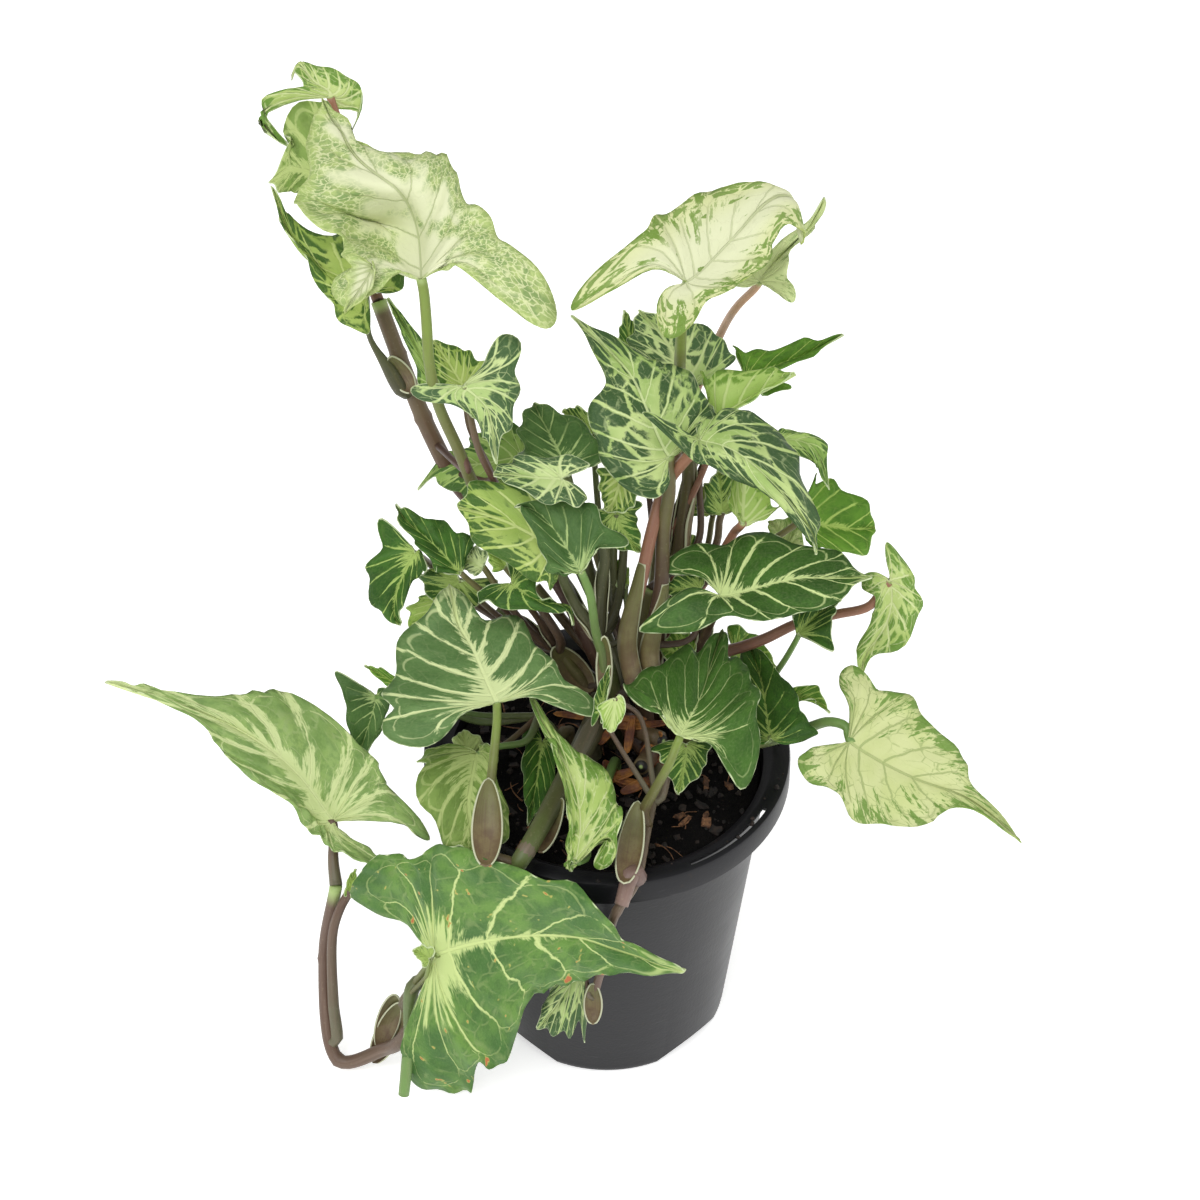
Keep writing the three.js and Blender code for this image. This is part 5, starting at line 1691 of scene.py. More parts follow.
@dataclass
class PottingMix:
    """The mix that fills the pot, with chips, fibres and crumbs on it."""

    radius: float = 54.4
    bottom: float = 9.0
    foot_radius: float = 41.0
    chips: int = 120
    fibres: int = 90
    crumbs: int = 420
    seed: int = 11
    rim_top: float = 124.1
    rim_inner: float = 59.5
    rim_width: float = 4.6
    chip_tilt: float = 0.9
    crumb_tilt: float = 3.0
    splinter: float = 0.16

    def height(self, spots: Array) -> Array:
        """The surface's height.

        Args:
            spots: Places across the pot, in millimetres.

        Returns:
            One height for each place, in millimetres.
        """
        x, y = spots[:, 0], spots[:, 1]
        place = np.column_stack([x, y, 0 * x])
        lumps = np.sin(x * 0.31 + 1.3) * np.sin(y * 0.27 + 0.4) + 0.6 * np.sin(x * 0.11 - y * 0.17)
        fine, grit = smooth_noise(place, 0.9, 2.0), smooth_noise(place, 2.3, 5.0)
        return SOIL_LEVEL + 0.9 * lumps + 0.55 * fine + 0.4 * grit

    def build(self) -> list[Piece]:
        """Models the mix.

        Returns:
            The body of the mix, the dark chips and the light chips.
        """
        draw = np.random.default_rng(self.seed)
        body = self._body()
        dark = [self._chip(draw, k) for k in range(self.chips)]
        dark += [self._crumb(draw, k) for k in range(self.crumbs)]
        light = [self._fibre(draw, k) for k in range(self.fibres)]
        light += [self._chip(draw, 1000 + k) for k in range(self.chips // 3)]
        return [body, joined("mix_chips", dark), joined("mix_fibres", light)]

    def _body(self) -> Piece:
        """The mix itself: a lumpy top, a wall and a flat underside.

        Returns:
            The body.
        """

        def shape(across: Array, along: Array) -> Array:
            """From the middle of the top out, down the wall and in to the middle below.

            Args:
                across: Turns round the axis.
                along: From the middle of the top to the middle below.

            Returns:
                Points in millimetres.
            """
            angle = FULL_TURN * across
            knots = [0.0, 0.8, 0.84, 0.96, 1.0]
            radius = np.interp(along, knots, [0, self.radius, self.radius, self.foot_radius, 0])
            spots = np.stack([radius * np.cos(angle), radius * np.sin(angle)], axis=1)
            drop = np.interp(along, knots, [0, 0, 0.02, 1, 1])
            return np.column_stack([spots, self.height(spots) * (1 - drop) + self.bottom * drop])

        body, _, _ = sheet_piece("potting_mix", 120, 100, shape)
        edit(body, weld(), face_out)
        return smoothed(body)

    def _spot(self, draw: np.random.Generator, reach: float) -> Array:
        """A random place on the surface.

        Args:
            draw: The random numbers.
            reach: The greatest distance from the axis, in millimetres.

        Returns:
            The place in millimetres.
        """
        angle, radius = FULL_TURN * draw.random(), reach * math.sqrt(draw.random())
        spot = np.array([[radius * math.cos(angle), radius * math.sin(angle)]])
        return np.array([*spot[0], self.height(spot)[0]])

    def _laid(self, piece: Piece, draw: np.random.Generator, spot: Array, lie: float) -> None:
        """Turns a piece at random and lays it at a place.

        Args:
            piece: The piece, made round the origin.
            draw: The random numbers.
            spot: The place in millimetres.
            lie: The range of its tilt, in radians.
        """
        yaw, pitch, roll = FULL_TURN * draw.random(), lie * (draw.random() - 0.5), lie * (draw.random() - 0.5)
        cy, sy, cp, sp, cr, sr = (f(a) for a in (yaw, pitch, roll) for f in (math.cos, math.sin))
        turn = np.array([[cy, -sy, 0], [sy, cy, 0], [0, 0, 1]])
        turn = turn @ np.array([[cp, 0, sp], [0, 1, 0], [-sp, 0, cp]])
        turn = turn @ np.array([[1, 0, 0], [0, cr, -sr], [0, sr, cr]])
        put_points(piece, points_of(piece) @ turn.T + spot * MM)

    def _chip(self, draw: np.random.Generator, number: int) -> Piece:
        """A flat splintered chip of bark.

        Args:
            draw: The random numbers.
            number: Shifts the pattern of its bumps.

        Returns:
            The chip.
        """
        chip = made(bpy.ops.mesh.primitive_cube_add, size=1.0)
        size = np.array([2 + 5.5 * draw.random() ** 2, 1.2 + 2.2 * draw.random(), 0.6 + 0.9 * draw.random()])
        edit(chip, lambda: bpy.ops.mesh.subdivide(number_cuts=2))
        flat = points_of(chip) * size * MM
        bumps = np.stack([smooth_noise(flat / MM, 1.1, number + k) for k in range(3)], axis=1)
        put_points(chip, flat + bumps * size * self.splinter * MM)
        self._laid(chip, draw, self._spot(draw, self.radius - 4), self.chip_tilt)
        return chip

    def _crumb(self, draw: np.random.Generator, number: int) -> Piece:
        """A small crumb of peat; every seventh lies on the pot's rim.

        Args:
            draw: The random numbers.
            number: Shifts the pattern of its bumps.

        Returns:
            The crumb.
        """
        crumb = made(bpy.ops.mesh.primitive_ico_sphere_add, subdivisions=1, radius=1.0)
        size = 0.35 + 1.0 * draw.random() ** 2
        ball = points_of(crumb)
        put_points(crumb, ball * (1 + 0.3 * smooth_noise(ball * 3, 1.0, number))[:, None] * size * MM)
        spot = self._spot(draw, self.radius - 1)
        if number % 7 == 0:
            angle = FULL_TURN * draw.random()
            radius = self.rim_inner + self.rim_width * draw.random()
            spot = np.array([radius * math.cos(angle), radius * math.sin(angle), self.rim_top])
        self._laid(crumb, draw, spot, self.crumb_tilt)
        return crumb

    def _fibre(self, draw: np.random.Generator, number: int) -> Piece:
        """A curved fibre lying on the mix.

        Args:
            draw: The random numbers.
            number: The fibre's number.

        Returns:
            The fibre.
        """
        start = self._spot(draw, self.radius - 8)
        angle = FULL_TURN * draw.random()
        length = 4 + 11 * draw.random() ** 2
        bend = draw.random() - 0.5
        knots = []
        for share in (0, 0.35, 0.7, 1):
            turn = angle + bend * share * 1.6
            flat = start[:2] + length * share * np.array([math.cos(turn), math.sin(turn)])
            flat *= min(1.0, (self.radius - 2) / float(np.linalg.norm(flat)))
            knots.append(np.array([*flat, self.height(flat[None, :])[0] + 0.35 + 0.3 * share]))
        width = 0.16 + 0.22 * draw.random()
        return tube(f"fibre_{number}", Route(knots), lambda level: width * (1 - 0.5 * level), 5, 1.6)


# ---- Places of blades and shoots --------------------------------------------------------

BLADE_TABLE = """
crest_pale cream 3 1.8 frill=1.4 pucker=0.014
  seat -66 167 92 tip -101 231 60 neck -94 219 68 mid -75 199 84 LMid -83 186 62 L -93 177 88
  LUp -103 185 84 LFar -106 193 72 LNeck -106 216 64 R -47 190 86 RFar -61 210 76 RNeck -90 214 68
  LHip -95 169 86 LLobe -91 157 90 LNotch -74 169 90 RHip -27 174 92 RLobe -23 149 98 RNotch -54 172 94

crest_hood sage 3 0.6
  seat -91 195 36 tip -120 201 34 neck -115 204 36 L -101 231 38 LUp -109 227 40 LFar -114 220 40
  LNeck -114 212 38 R -102 198 32 LLobe -92 216 32 RLobe -83 182 32

crest_curl milk 1 0.3
  seat -98 231 24 tip -112 237 26 neck -110 243 24 mid -104 237 24 L -109 234 26 LFar -108 236 26
  LHip -123 229 30 LLobe -114 214 22 LLow -124 221 26 LNotch -110 230 26 R -93 239 22 RFar -102 242 22
  RHip -87 233 20 RLobe -91 218 18 RLow -88 225 19 RNotch -95 227 20

crest_under moire 4 1.4
  seat -85 162 62 mid -105 173 52 neck -115 188 46 tip -119 200 44 L -100 161 62 LFar -110 176 52
  R -79 181 58 RFar -103 183 48 LHip -95 152 64 LLobe -85 147 64 RLobe -72 164 64

crest_strip mottled 4 0.6
  seat -61 129 62 tip -78 160 54 L -70 142 58 R -65 142 58 LLobe -64 125 62 RLobe -58 125 62

shoulder_left slate 2.5 1.0
  seat -51 129 80 tip -39 101 82 neck -40 109 82 mid -42 120 81 L -32 127 78 LFar -35 115 80 R -48 120 78
  RFar -44 113 80 LHip -31 140 76 LLobe -37 147 74 LNotch -44 136 78 RHip -61 123 78 RLobe -70 128 76
  RNotch -59 129 78

shoulder_back moire 3 1.0
  seat -51 129 66 tip -62 145 58 L -61 134 62 R -49 140 60 LLobe -57 126 66 RLobe -43 135 64

far_left washed 5 1.6
  seat -97 -25 -28 mid -122 2 -38 neck -156 17 -50 tip -178 24 -54 L -109 -25 -26 LFar -134 -2 -40
  LNeck -154 15 -48 R -83 -1 -28 RFar -117 19 -50 RNeck -154 18 -52 LHip -96 -38 -20 LLobe -77 -42 -12
  LNotch -90 -31 -22 RHip -73 -16 -10 RLobe -63 -32 2 RLow -71 -27 -4 RNotch -83 -25 -14

left_behind dusk 3 1.0
  seat -82 19 -44 tip -90 -9 -52 L -78 12 -44 R -92 16 -48 LLobe -78 22 -42 RLobe -95 28 -44

left_spear young 2 0.3
  seat -70 21 6 tip -86 30 2 L -76 22 4 R -78 28 4 LLobe -69 19 6 RLobe -69 22 6

low_left speckled 5 1.8
  seat -61 -73 14 tip 28 -78 30 neck 12 -73 36 mid -17 -66 38 L -59 -35 46 LFar -16 -44 62 LNeck 10 -68 44
  R -38 -106 -14 RFar -22 -83 14 RNeck 5 -77 28 LHip -76 -36 24 LLobe -90 -49 2 LNotch -70 -61 12
  RHip -49 -117 -34 RLobe -69 -118 -34 RNotch -70 -97 -10

low_small slate 2 1.2 frill=1.8
  seat -9 -77 4 tip -25 -99 -10 L -13 -100 -8 R -19 -84 -4 LLobe -7 -98 -6 RLobe -12 -76 6

front_left frosted 4 1.2
  seat -39 17 46 tip -56 59 22 neck -54 51 25 mid -48 37 32 L -77 21 36 LFar -70 36 24 LEdge -65 47 23
  R -22 32 37 RUp -27 40 33 RFar -34 46 29 REdge -43 45 25 LHip -79 9 44 LLobe -65 0 50 LNotch -52 12 48
  RHip -10 21 42 RLobe -5 11 48 RNotch -26 18 46

front_centre starred 4 1.0
  seat 26 5 58 tip 41 43 22 neck 39 37 26 mid 34 21 40 L 16 28 38 LFar 29 33 30 LHip 5 22 48 LLobe 11 15 56
  LNotch 20 12 56 R 53 20 38 RFar 44 30 30 RHip 54 8 48 RLobe 47 -14 58 RNotch 36 2 56

front_right deep 3 1.0
  seat 58 4 30 tip 50 38 2 L 45 18 12 R 69 13 24 RFar 63 24 14 LLobe 49 2 20 RLobe 73 5 30

right_inner young 3 0.8
  seat 45 35 -8 tip 60 29 -12 L 51 41 -14 R 48 29 -8 LLobe 42 43 -10 RLobe 43 33 -6

right_spread feathered 4 1.0
  seat 40 55 54 tip 94 61 44 mid 68 61 50 L 49 75 38 LFar 74 69 40 LHip 33 71 38 LLobe 19 64 42
  LNotch 32 61 48 R 49 46 60 RFar 73 49 52 RHip 33 43 60 RLobe 12 41 56 RNotch 29 56 56

right_droop milk 3 1.0
  seat 100 60 28 tip 90 26 10 neck 91 32 12 L 111 53 24 LFar 105 39 18 LNeck 93 32 12 R 95 52 24
  RFar 91 41 16 RNeck 88 32 12 LHip 107 62 26 LLobe 99 74 26 RLobe 90 61 26

right_white lace 3 1.4
  seat 86 3 32 tip 147 -33 18 neck 136 -23 20 mid 114 -12 28 L 107 17 24 LFar 122 -2 22 LNeck 134 -17 20
  LHip 92 25 22 LLobe 82 27 22 LNotch 86 15 28 R 89 -25 38 RFar 111 -25 30 RNeck 130 -22 22 RHip 76 -13 38
  RLobe 67 -4 36 RNotch 77 1 34

top_pale ivory 4 1.4
  seat 28 166 95 tip 69 179 76 neck 66 195 82 mid 48 185 92 L 20 190 88 LFar 39 195 84 LNeck 58 198 82
  LHip 5 177 94 LLobe -12 155 98 LNotch 15 170 96 R 45 164 92 RFar 56 176 88 RNeck 64 186 84 RHip 33 154 98
  RLobe 20 146 100 RNotch 20 162 97

centre_marbled marbled 2.5 0.8
  seat 22 104 70 tip -13 154 60 neck -1 143 64 L -4 108 68 LFar -3 125 66 LNeck -2 137 64 R 35 124 60
  RFar 21 136 60 RNeck 6 142 62 LHip 2 95 72 LLobe 17 89 74 LNotch 22 96 72 RHip 40 118 62 RLobe 43 110 66
  RNotch 30 108 68

right_arch marbled 4 1.2
  seat 33 110 78 tip 74 69 64 neck 72 77 68 mid 53 100 84 L 51 118 68 LFar 66 99 70 LHip 43 118 68
  LLobe 38 114 72 R 37 100 82 RFar 57 91 76 RHip 29 103 82 RLobe 13 119 82 RNotch 26 113 80

arch_under fresh 5 0.8
  seat 48 80 46 tip 49 103 52 L 58 89 44 R 44 95 46 LLobe 57 81 44 RLobe 45 84 46 LHip 62 86 44

boat_right fresh 6 0.6
  seat 39 118 52 tip 67 133 44 L 39 132 44 LFar 56 132 40 R 51 121 52 RFar 62 128 48 LLobe 32 130 48
  RLobe 41 116 54

boat_long young 5 0.9
  seat 49 132 30 tip 84 147 22 L 53 140 24 R 56 131 32 LFar 67 142 22 RFar 70 137 26 LLobe 44 140 28
  RLobe 65 130 32

top_right washed 4 0.6
  seat 54 166 62 tip 77 196 50 L 53 170 58 LFar 67 183 54 R 64 173 58 RFar 70 182 52 LLobe 46 163 62
  RLobe 65 158 66 LNotch 51 164 62 RNotch 58 163 63

top_marbled slate 4 1.0
  seat 29 129 34 tip 11 156 38 L 9 141 35 R 39 147 33 LLobe 17 127 36 RLobe 43 136 32

upper_dark dusk 3 0.8 frill=1.8
  seat -15 101 58 tip -26 123 44 L -30 108 50 LFar -30 115 46 R -5 111 52 RFar -15 118 46 LLobe -29 100 56
  RLobe -2 103 56

upper_tail mottled 4 1.0 frill=1.8
  seat -31 104 30 tip -67 92 18 neck -59 100 22 L -44 91 28 LFar -53 91 24 R -43 112 24 RFar -51 106 22
  LLobe -28 96 32 RLobe -29 113 26

fold_marbled slate 4 1.0 frill=1.8
  seat -16 96 76 tip -40 97 68 L -20 87 78 LFar -32 93 72 R -29 102 70 LLobe -7 88 78 RLobe -6 101 74

left_lime moire 4 1.2
  seat -20 72 66 tip -53 86 54 mid -36 81 60 L -26 61 64 LFar -44 73 58 R -25 93 60 RFar -45 94 58
  LLobe -19 61 66 RLobe -19 86 64

centre_dark dusk 4 1.0
  seat -9 63 78 tip -33 86 70 L -24 73 74 LFar -29 83 72 R -5 86 74 RFar -18 88 70 LLobe -17 63 76
  RHip 2 78 76 RLobe 7 72 76 RNotch -5 71 77

left_dark deep 4 1.2 frill=1.8
  seat -68 70 34 tip -73 44 28 L -68 60 32 LFar -72 51 30 R -84 63 28 RFar -81 51 26 LLobe -63 67 36
  RHip -80 73 30 RLobe -79 82 32

left_bright deep 4 1.0 frill=1.8
  seat -52 63 44 tip -75 87 30 neck -72 82 33 L -63 67 40 LFar -68 74 36 R -53 77 38 RFar -62 81 34
  LLobe -58 62 44 RLobe -46 74 42

left_low deep 3 1.2 frill=1.8
  seat -52 60 21 tip -60 51 15 L -45 53 17 R -66 63 15 LLobe -39 61 23 RLobe -56 65 21

left_hook deep 3 1.0 frill=1.8
  seat -34 59 46 tip -12 44 52 neck -13 50 52 L -26 63 48 LFar -22 52 50 R -38 51 46 RFar -23 49 50
  LHip -24 68 46 LLobe -34 67 42 RLobe -46 55 42

left_yellow lime 3 0.8
  seat -58 53 -2 tip -69 39 -10 L -59 43 -6 R -69 51 -8 LLobe -54 51 -2 RLobe -63 55 -4

right_fold young 5 1.4 frill=1.8
  seat 68 81 36 tip 95 78 28 L 79 94 28 LFar 90 86 26 R 80 69 36 RFar 91 70 32 LLobe 70 94 34 RLobe 73 72 38
  REdge 93 74 30

right_hook mottled 2.5 0.8 frill=1.8
  seat 61 110 50 tip 79 92 42 mid 73 107 46 neck 77 97 43 L 68 112 46 LFar 76 108 44 R 66 106 46
  RFar 74 102 44 LLobe 60 113 50 RLobe 59 105 50

right_small deep 3 0.8
  seat 68 41 26 tip 83 53 18 L 69 49 22 R 80 46 24 LLobe 65 45 26 RLobe 79 35 30

right_crescent young 2 0.4
  seat 65 18 6 tip 79 13 10 L 73 23 6 R 71 17 8 LLobe 63 21 6 RLobe 64 17 6

pot_pale sage 4 1.6 frill=1.8
  seat -46 -1 24 tip -47 -38 42 mid -49 -20 34 L -38 -14 32 LFar -34 -31 42 R -66 -11 28 RFar -59 -31 36
  LLobe -42 2 24 RLobe -64 -1 20 RHip -66 -5 24

pot_dark deep 3 0.8
  seat -23 3 4 tip -28 -27 24 L -19 -12 14 R -30 -6 12 LLobe -18 4 2 RLobe -28 8 0

front_pale milk 3 1.6 frill=1.8
  seat -11 -40 54 mid -11 -15 46 neck -22 8 36 tip -28 21 30 L -14 -31 52 LFar -18 -6 44 R 5 -23 52
  RFar -1 -9 44 LLobe -13 -43 56 RLobe -5 -42 54 RHip 3 -38 57 RNotch -1 -32 55 LNotch -12 -42 55

front_under deep 3 0.8
  seat 28 2 32 tip 25 -16 34 L 34 -6 32 R 20 -5 32 LLobe 34 2 28 RLobe 17 1 30

top_spear deep 2 0.3 loose=true
  seat 9 140 36 tip 6 156 40 L 4 147 38 R 10 149 36 LLobe 4 141 37 RLobe 12 140 35

back_cream lace 3 1.0 loose=true
  seat 63 72 14 tip 57 81 16 L 57 74 16 R 66 81 12 LLobe 60 69 14 RLobe 69 72 12

inner_dark deep 3 0.8 loose=true
  seat 41 84 18 tip 39 99 22 L 34 93 22 R 46 95 16 LLobe 35 84 20 RLobe 47 86 16

inner_lime moire 3 0.8 loose=true
  seat 38 84 12 tip 28 94 14 L 28 88 14 R 36 93 12 LLobe 31 83 13 RLobe 41 89 12

under_left deep 3 0.9 loose=true
  seat 3 84 56 tip 12 70 50 L 10 82 52 R 0 74 52 LLobe 10 89 56 RLobe -4 85 56

under_lime moire 3 1.0 loose=true
  seat 5 97 60 tip 0 84 58 L 9 86 60 R -2 92 58 LLobe 12 94 60 RLobe -2 100 58

behind_spread deep 3 0.6 loose=true
  seat 29 65 10 tip 23 78 14 L 21 67 14 R 32 74 8 LLobe 24 62 12 RLobe 34 67 8

lobe_gap deep 2 0.6 loose=true
  seat 33 57 34 tip 19 57 38 L 26 53 36 R 26 62 36 LLobe 35 53 34 RLobe 34 62 34

low_centre young 3 0.8 loose=true
  seat 29 32 14 tip 18 36 18 L 22 30 16 R 24 42 14 LLobe 29 28 14 RLobe 31 39 12

mid_green young 2 0.4 loose=true
  seat 7 58 36 tip 2 67 38 L 2 62 38 R 6 67 36 LLobe 4 57 37 RLobe 8 62 36

tail_back deep 2 0.5 loose=true
  seat -5 113 36 tip -16 120 34 L -12 114 36 R -10 121 34 LLobe -8 110 36 RLobe -2 118 36

left_inner young 3 0.6 loose=true
  seat -36 65 40 tip -42 73 38 L -42 67 40 R -36 73 38 LLobe -39 63 40 RLobe -33 69 40

left_knot slate 3 0.6 loose=true
  seat -44 65 40 tip -51 67 38 L -49 63 39 R -46 72 38 LLobe -45 62 40 RLobe -42 69 40

crown_curl fresh 2.5 0.5 loose=true
  seat 3 18 60 tip 1 6 64 L -2 10 62 R 5 12 63 LLobe -3 16 60 RLobe 5 19 62

pot_lobe sage 2 0.5 loose=true
  seat -49 -2 20 tip -51 7 16 L -54 3 18 R -46 4 16 LLobe -51 -3 14 RLobe -44 1 12

low_curl deep 2 0.4 loose=true
  seat -63 -74 20 tip -69 -71 20 L -67 -74 20 R -65 -69 20 LLobe -64 -77 20 RLobe -61 -71 20

crest_fold cream 2 0.4 loose=true
  seat -83 171 92 tip -93 155 96 L -83 164 94 R -92 168 94 LLobe -83 173 92 RLobe -91 176 93

vine_bud young 1 0.2 loose=true
  seat -91 -50 -24 tip -89 -42 -22 L -92 -46 -23 R -89 -47 -23

crown_young deep 2 0.3 loose=true
  seat -2 14 52 tip 1 30 58 L -4 20 54 R 1 21 56
"""

SHOOT_TABLE = """
shoot_tall_left bark 3.9 5 21 | -6 39 4  -17 60 8  -34 78 8  -51 92 16  -62 111 26  -72 135 36  -81 159 42
  crest_pale 2.1 moss sheath=3 wing=0.25 | -31 67 30  -45 89 46  -53 107 60  -60 123 72  -63 137 82 \
      -64 152 88
  crest_hood 1.3 bark | -84 168 38  -87 181 36
  crest_curl 1.7 rose | -85 170 34  -88 195 24  -93 217 20
  crest_under 1.1 olive sheath=2.8 | -72 127 38  -78 136 42  -84 146 46  -85 155 54
  crest_strip 1.1 bark | -49 99 56  -56 115 58
  shoulder_left 1.3 bark | -38 89 42  -46 108 70
  shoulder_back 1.1 bark | -41 96 40  -49 115 60
  bract 7 | -69 127 42  -77 139 44

shoot_tall_right bark 3.2 18 25 | 17 39 0  17 67 18
  top_pale 2.1 moss sheath=2.8 wing=0.3 | 24 67 22  27 81 26  29 99 32  26 124 40  26 142 64  27 156 86
  top_right 1.6 blush | 26 110 28  33 131 14  40 147 24  46 157 46
  top_marbled 1.3 bark | 24 103 24  27 120 26
  boat_long 1.2 bark | 29 96 24  41 124 24
  boat_right 1.2 rose | 31 92 32  38 110 44
  top_spear 1 bark | 15 89 26  10 124 32
  inner_dark 1.5 bark | 29 53 8  39 74 14
  behind_spread 1.4 bark | 24 39 2  29 53 4
  none 1.6 rose | 22 39 4  23 60 6  24 85 12
  bract 7 | 16 21 14  20 84 30

shoot_centre umber 3.6 14 10 | 12 32 20  15 57 36
  centre_marbled 2.6 umber sheath=3.2 wing=0.5 | 17 18 16  15 35 34  19 57 42  20 78 50  22 92 60
  right_arch 2.3 rose sheath=3 wing=0.5 | 12 19 24  7 38 40  12 60 48  16 78 52  20 92 54  27 102 68
  arch_under 1.7 rose | 29 53 18  39 67 23  45 77 36
  right_hook 1.2 umber | 32 73 24  34 101 30  47 106 40
  right_fold 1.3 umber | 36 60 24  58 74 28
  inner_lime 1.2 umber | 30 53 8  36 74 10
  back_cream 1 umber | 40 53 10  58 66 12
  lobe_gap 1.1 umber | 29 39 20  34 50 28

shoot_left olive 3 3 10 | 2 25 18  -3 39 34
  upper_dark 1.8 olive sheath=2.4 wing=0.4 | -4 53 30  -7 67 42  -12 89 52
  upper_tail 1.6 olive sheath=2.1 wing=0.4 | -10 50 20  -18 67 26  -27 92 28
  fold_marbled 1.8 olive sheath=2.3 wing=0.4 | -2 57 44  -1 71 54  -8 85 66
  left_lime 1.7 olive sheath=2 wing=0.35 | -6 44 40  -12 53 46  -17 64 56
  centre_dark 1.6 green sheath=2.2 | -1 25 30  -2 35 44  -4 42 52  -6 55 66
  under_left 1.7 olive | 2 46 30  2 67 42
  under_lime 1.5 olive | 3 50 34  6 74 46
  tail_back 1.2 olive | -2 67 28  -4 96 32
  mid_green 1 olive | 5 39 30  7 50 34
  none 1.9 umber | 8 21 14  2 50 16  -4 71 22
  none 1.9 olive | 6 21 8  -2 46 8  -11 66 14
  bract 5 | -1 18 34  -1 40 52

shoot_low_left umber 3 -5 17 | -7 21 -4  -17 35 4
  left_dark 1.3 umber | -38 46 2  -56 58 2  -62 65 12
  left_bright 1.2 umber sheath=2 wing=0.3 | -31 46 10  -44 56 34
  left_low 1.1 umber | -31 42 4  -45 53 12
  left_hook 1.2 umber sheath=2 wing=0.35 | -24 46 22  -31 55 38
  left_yellow 1 umber | -38 39 -8  -52 50 -6
  left_inner 1.5 umber | -17 40 20  -28 56 32
  left_knot 1.3 umber | -24 39 14  -36 53 30
  none 1.9 umber | 1 25 0  -13 43 2  -25 58 6
  none 2 olive | -2 21 -4  -20 37 -6  -39 50 -6
  bract 10 | -5 21 0  -19 36 12

shoot_right umber 3 25 15 | 27 21 0  32 34 6
  right_spread 1.7 umber sheath=2.4 wing=0.35 | 34 40 14  38 48 36
  right_droop 1.8 rose | 42 35 6  55 39 12  68 45 16  81 48 20  93 51 24
  right_small 1.2 green | 44 22 -2  54 21 -2  61 29 8
  right_inner 1 umber | 38 31 -6
  low_centre 1.2 umber | 31 21 8

vine_right tan 2.4 27 3 | 31 4 4  41 2 10
  right_white 1.9 green | 56 3 12  69 7 16  79 10 24  85 8 28
  front_right 1.4 tan | 49 1 18
  right_crescent 1 tan | 52 10 0

vine_front vine 2.1 14 1 | 19 -9 14  16 -18 28  13 -33 42  10 -47 50  3 -58 48  0 -71 20  -4 -85 0 \
      -5 -91 -4
  front_centre 1.7 moss | 13 -22 42  17 -14 50  22 -5 56
  front_under 1 vine | 19 -18 30  23 -5 30
  low_small 1 vine | -6 -88 0
  none 2.9 paper | 9 -43 54  5 -55 54
  crown_curl 0.9 vine | 12 11 40
  crown_young 0.9 vine | 0 9 44
  none 3.5 bark | 17 3 2  15 -2 10  12 -6 20
  none 2.6 ash | 17 3 2  15 -2 10  12 -6 21
  none 3.3 bark | 7 10 0  13 6 8  19 4 14
  none 2.5 ash | 7 10 0  13 6 8  20 3 14
  bract 8.5 | 6 -47 60  11 -18 44
  bract 6 | -5 -97 0  -5 -83 4

vine_left vine 3.3 -5 5 | -4 10 6  -17 -15 30  -30 -38 52  -37 -47 40  -46 -58 18  -59 -83 -16 \
      -73 -103 -32  -79 -106 -44  -95 -110 -51  -100 -74 -43  -96 -48 -26
  far_left 1.9 vine | -97 -39 -28
  front_left 1.7 moss | -44 -35 54  -41 -10 44  -39 10 42
  low_left 1.5 moss | -72 -91 -22  -68 -83 -8
  low_curl 0.8 moss | -72 -91 -20  -64 -80 8
  vine_bud 1.9 vine | -96 -103 -49  -97 -89 -44  -97 -64 -30  -94 -55 -26
  none 3.65 olive | -4 10 6  -17 -15 30  -30 -38 52  -36 -46 44
  none 2.4 green | -68 -83 -8  -70 -103 -20  -72 -122 -30
  bract 10 | -43 -41 63  -42 -10 52
  bract 8 | -81 -106 -46  -75 -87 -24
  bract 9 | -83 -111 -50  -73 -90 -26
  bract 6 | -24 -36 48  -16 -17 36

shoot_front_left tan 2.6 -14 11 | -17 5 -6  -24 12 2
  left_spear 1 green | -49 13 0
  left_behind 1.2 green | -45 10 -6  -59 15 -6  -73 18 -34
  pot_pale 1.3 green | -29 3 14  -39 1 20
  pot_dark 1 tan | -19 6 -6
  pot_lobe 1 tan | -38 1 10

shoot_front green 2.2 3 -5 | -2 -16 18
  front_pale 1.3 green | -7 -28 36  -7 -38 46
"""

DRY_REMAINS = [
    Bract(2.2, "-19 13 8  14 11 12"),
    Bract(2.6, "0 9 10  22 10 12", (0.1, -0.3, 0.9)),
    Bract(2.4, "7 -1 12  9 12 14"),
    Bract(3, "12 -2 10  19 6 16"),
    Bract(3.4, "-5 -11 8  12 -6 10", (0.2, -0.2, 0.9)),
    Bract(3, "-1 -4 8  6 -13 8"),
    Bract(2.6, "17 -6 12  24 1 12"),
    Bract(3, "5 -15 10  16 -10 12"),
    Bract(2.2, "-3 2 10  3 9 14"),
    Bract(2.6, "1 -9 10  17 -13 8", (-0.3, -0.2, 0.9)),
]


# ---- Studio -----------------------------------------------------------------------------


@dataclass(frozen=True)
class Lamp:
    """A large soft area light turned to the plant; metres and watts."""

    name: str
    spot: Place
    power: float
    size: float

    def build(self, aim: Place) -> None:
        """Hangs the lamp.

        Args:
            aim: What it is turned to.
        """
        bpy.ops.object.light_add(type="AREA", location=self.spot)
        lamp = bpy.context.object
        lamp.name = self.name
        lamp.data.energy = self.power
        lamp.data.size = self.size
        lamp.rotation_euler = (Vector(aim) - Vector(self.spot)).to_track_quat("-Z", "Y").to_euler()


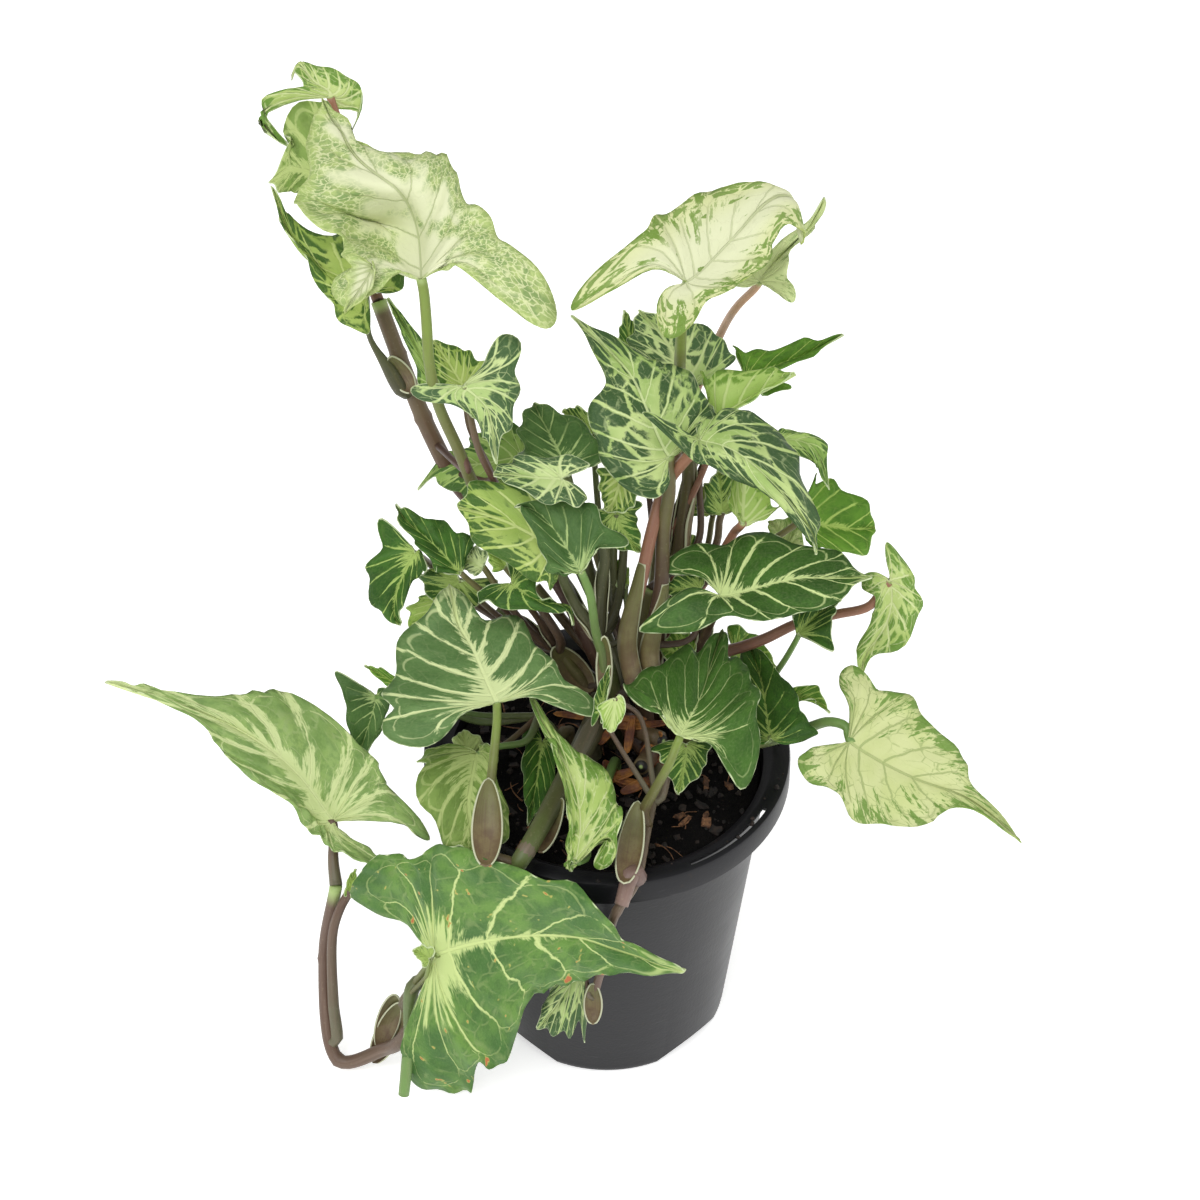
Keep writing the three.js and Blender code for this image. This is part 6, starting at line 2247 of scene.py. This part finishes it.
@dataclass(frozen=True)
class Studio:
    """Floor, soft lights and the camera."""

    lamps: tuple[Lamp, ...] = (
        Lamp("key", (-0.55, -0.75, 1.5), 19.0, 1.3),
        Lamp("fill", (1.1, -0.9, 1.0), 5.0, 1.4),
        Lamp("side", (1.3, 0.15, 0.5), 2.5, 0.6),
    )
    aim: Place = (0.0, 0.0, 0.15)
    lens: float = 118.56
    sensor: float = 36.0
    floor: float = 8.0
    sky: float = 0.5

    def build(self) -> None:
        """Sets up everything round the part."""
        self._floor()
        for lamp in self.lamps:
            lamp.build(self.aim)
        self._world()
        self._camera()

    def _floor(self) -> None:
        """A wide pale floor."""
        floor = made(bpy.ops.mesh.primitive_grid_add, x_subdivisions=4, y_subdivisions=4, size=self.floor)
        floor.name = "floor"
        floor.data.materials.append(FloorFinish().material())

    def _world(self) -> None:
        """A plain bright surround."""
        world = bpy.data.worlds.new("surround")
        bpy.context.scene.world = world
        world.use_nodes = True
        surround = world.node_tree.nodes["Background"]
        surround.inputs["Color"].default_value = (1.0, 1.0, 1.0, 1.0)
        surround.inputs["Strength"].default_value = self.sky
        bpy.context.scene.view_settings.view_transform = "Standard"

    def _camera(self) -> None:
        """The camera on the viewpoint, square to the board."""
        turn = (math.pi / 2 - BOARD.lean, 0.0, 0.0)
        bpy.ops.object.camera_add(location=Vector(BOARD.viewpoint * MM), rotation=turn)
        camera = bpy.context.object
        camera.data.lens = self.lens
        camera.data.sensor_width = self.sensor
        bpy.context.scene.camera = camera


# ---- The plant --------------------------------------------------------------------------


def dress(piece: Piece, node: str, slot: str, *coats: Material) -> None:
    """Gives a piece its materials and hands it to the frame.

    Args:
        piece: The finished piece.
        node: The CAD node that it stands for, or an empty text.
        slot: The record's material slot; not used.
        coats: Materials in the order of the piece's material slots.
    """
    for coat in coats:
        piece.data.materials.append(coat)
    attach(piece, "root")
    if node:
        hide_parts(node)
    log.info("%s: %d faces", piece.name, len(piece.data.polygons))


SLOT_OF = {
    "washed": "speckled", "fresh": "young", "ivory": "cream", "lace": "cream", "deep": "feathered",
    "slate": "marbled", "moire": "lime", "vine": "umber", "milk": "young", "frosted": "feathered",
    "starred": "feathered", "dusk": "feathered",
}


def main() -> None:
    """Builds the scene in order."""
    leaf_coats = {name: finish.materials() for name, finish in LEAF_FINISHES.items()}
    stalk_coats = {name: finish.material() for name, finish in STALK_FINISHES.items()}
    sheath_coat = SheathFinish().material()
    dress(NurseryPot().build(), "nursery_pot", "pot", PotFinish().material())
    mix, chips, fibres = PottingMix().build()
    dress(mix, "potting_soil", "soil", SoilFinish().material())
    dress(chips, "", "soil", BarkFinish("bark_chips", rgb(46, 33, 26), rgb(16, 13, 12)).material())
    dress(fibres, "", "soil", BarkFinish("bark_fibres", rgb(142, 100, 66), rgb(70, 46, 32)).material())
    dry = joined("dry_remains", [strip.build(f"dry_{k}") for k, strip in enumerate(DRY_REMAINS)])
    dress(dry, "", "bark", DryFinish().material())
    blades = {blade.name: blade for blade in read_blades(BLADE_TABLE)}
    for entry in SHOOT_TABLE.strip().split("\n\n"):
        shoot = Shoot.read(entry)
        stem, *sheaths = shoot.build(blades, stalk_coats)
        slot = SLOT_OF.get(shoot.finish, shoot.finish)
        dress(stem, shoot.name, slot)
        for sheath in sheaths:
            dress(sheath, "", slot, sheath_coat)
    for blade in blades.values():
        piece = blade.build()
        slot = SLOT_OF.get(blade.finish, blade.finish)
        node = "" if blade.loose else f"leaf_{blade.name}"
        dress(piece, node, slot, *leaf_coats[blade.finish])
    Studio().build()


if __name__ == "__main__":
    main()
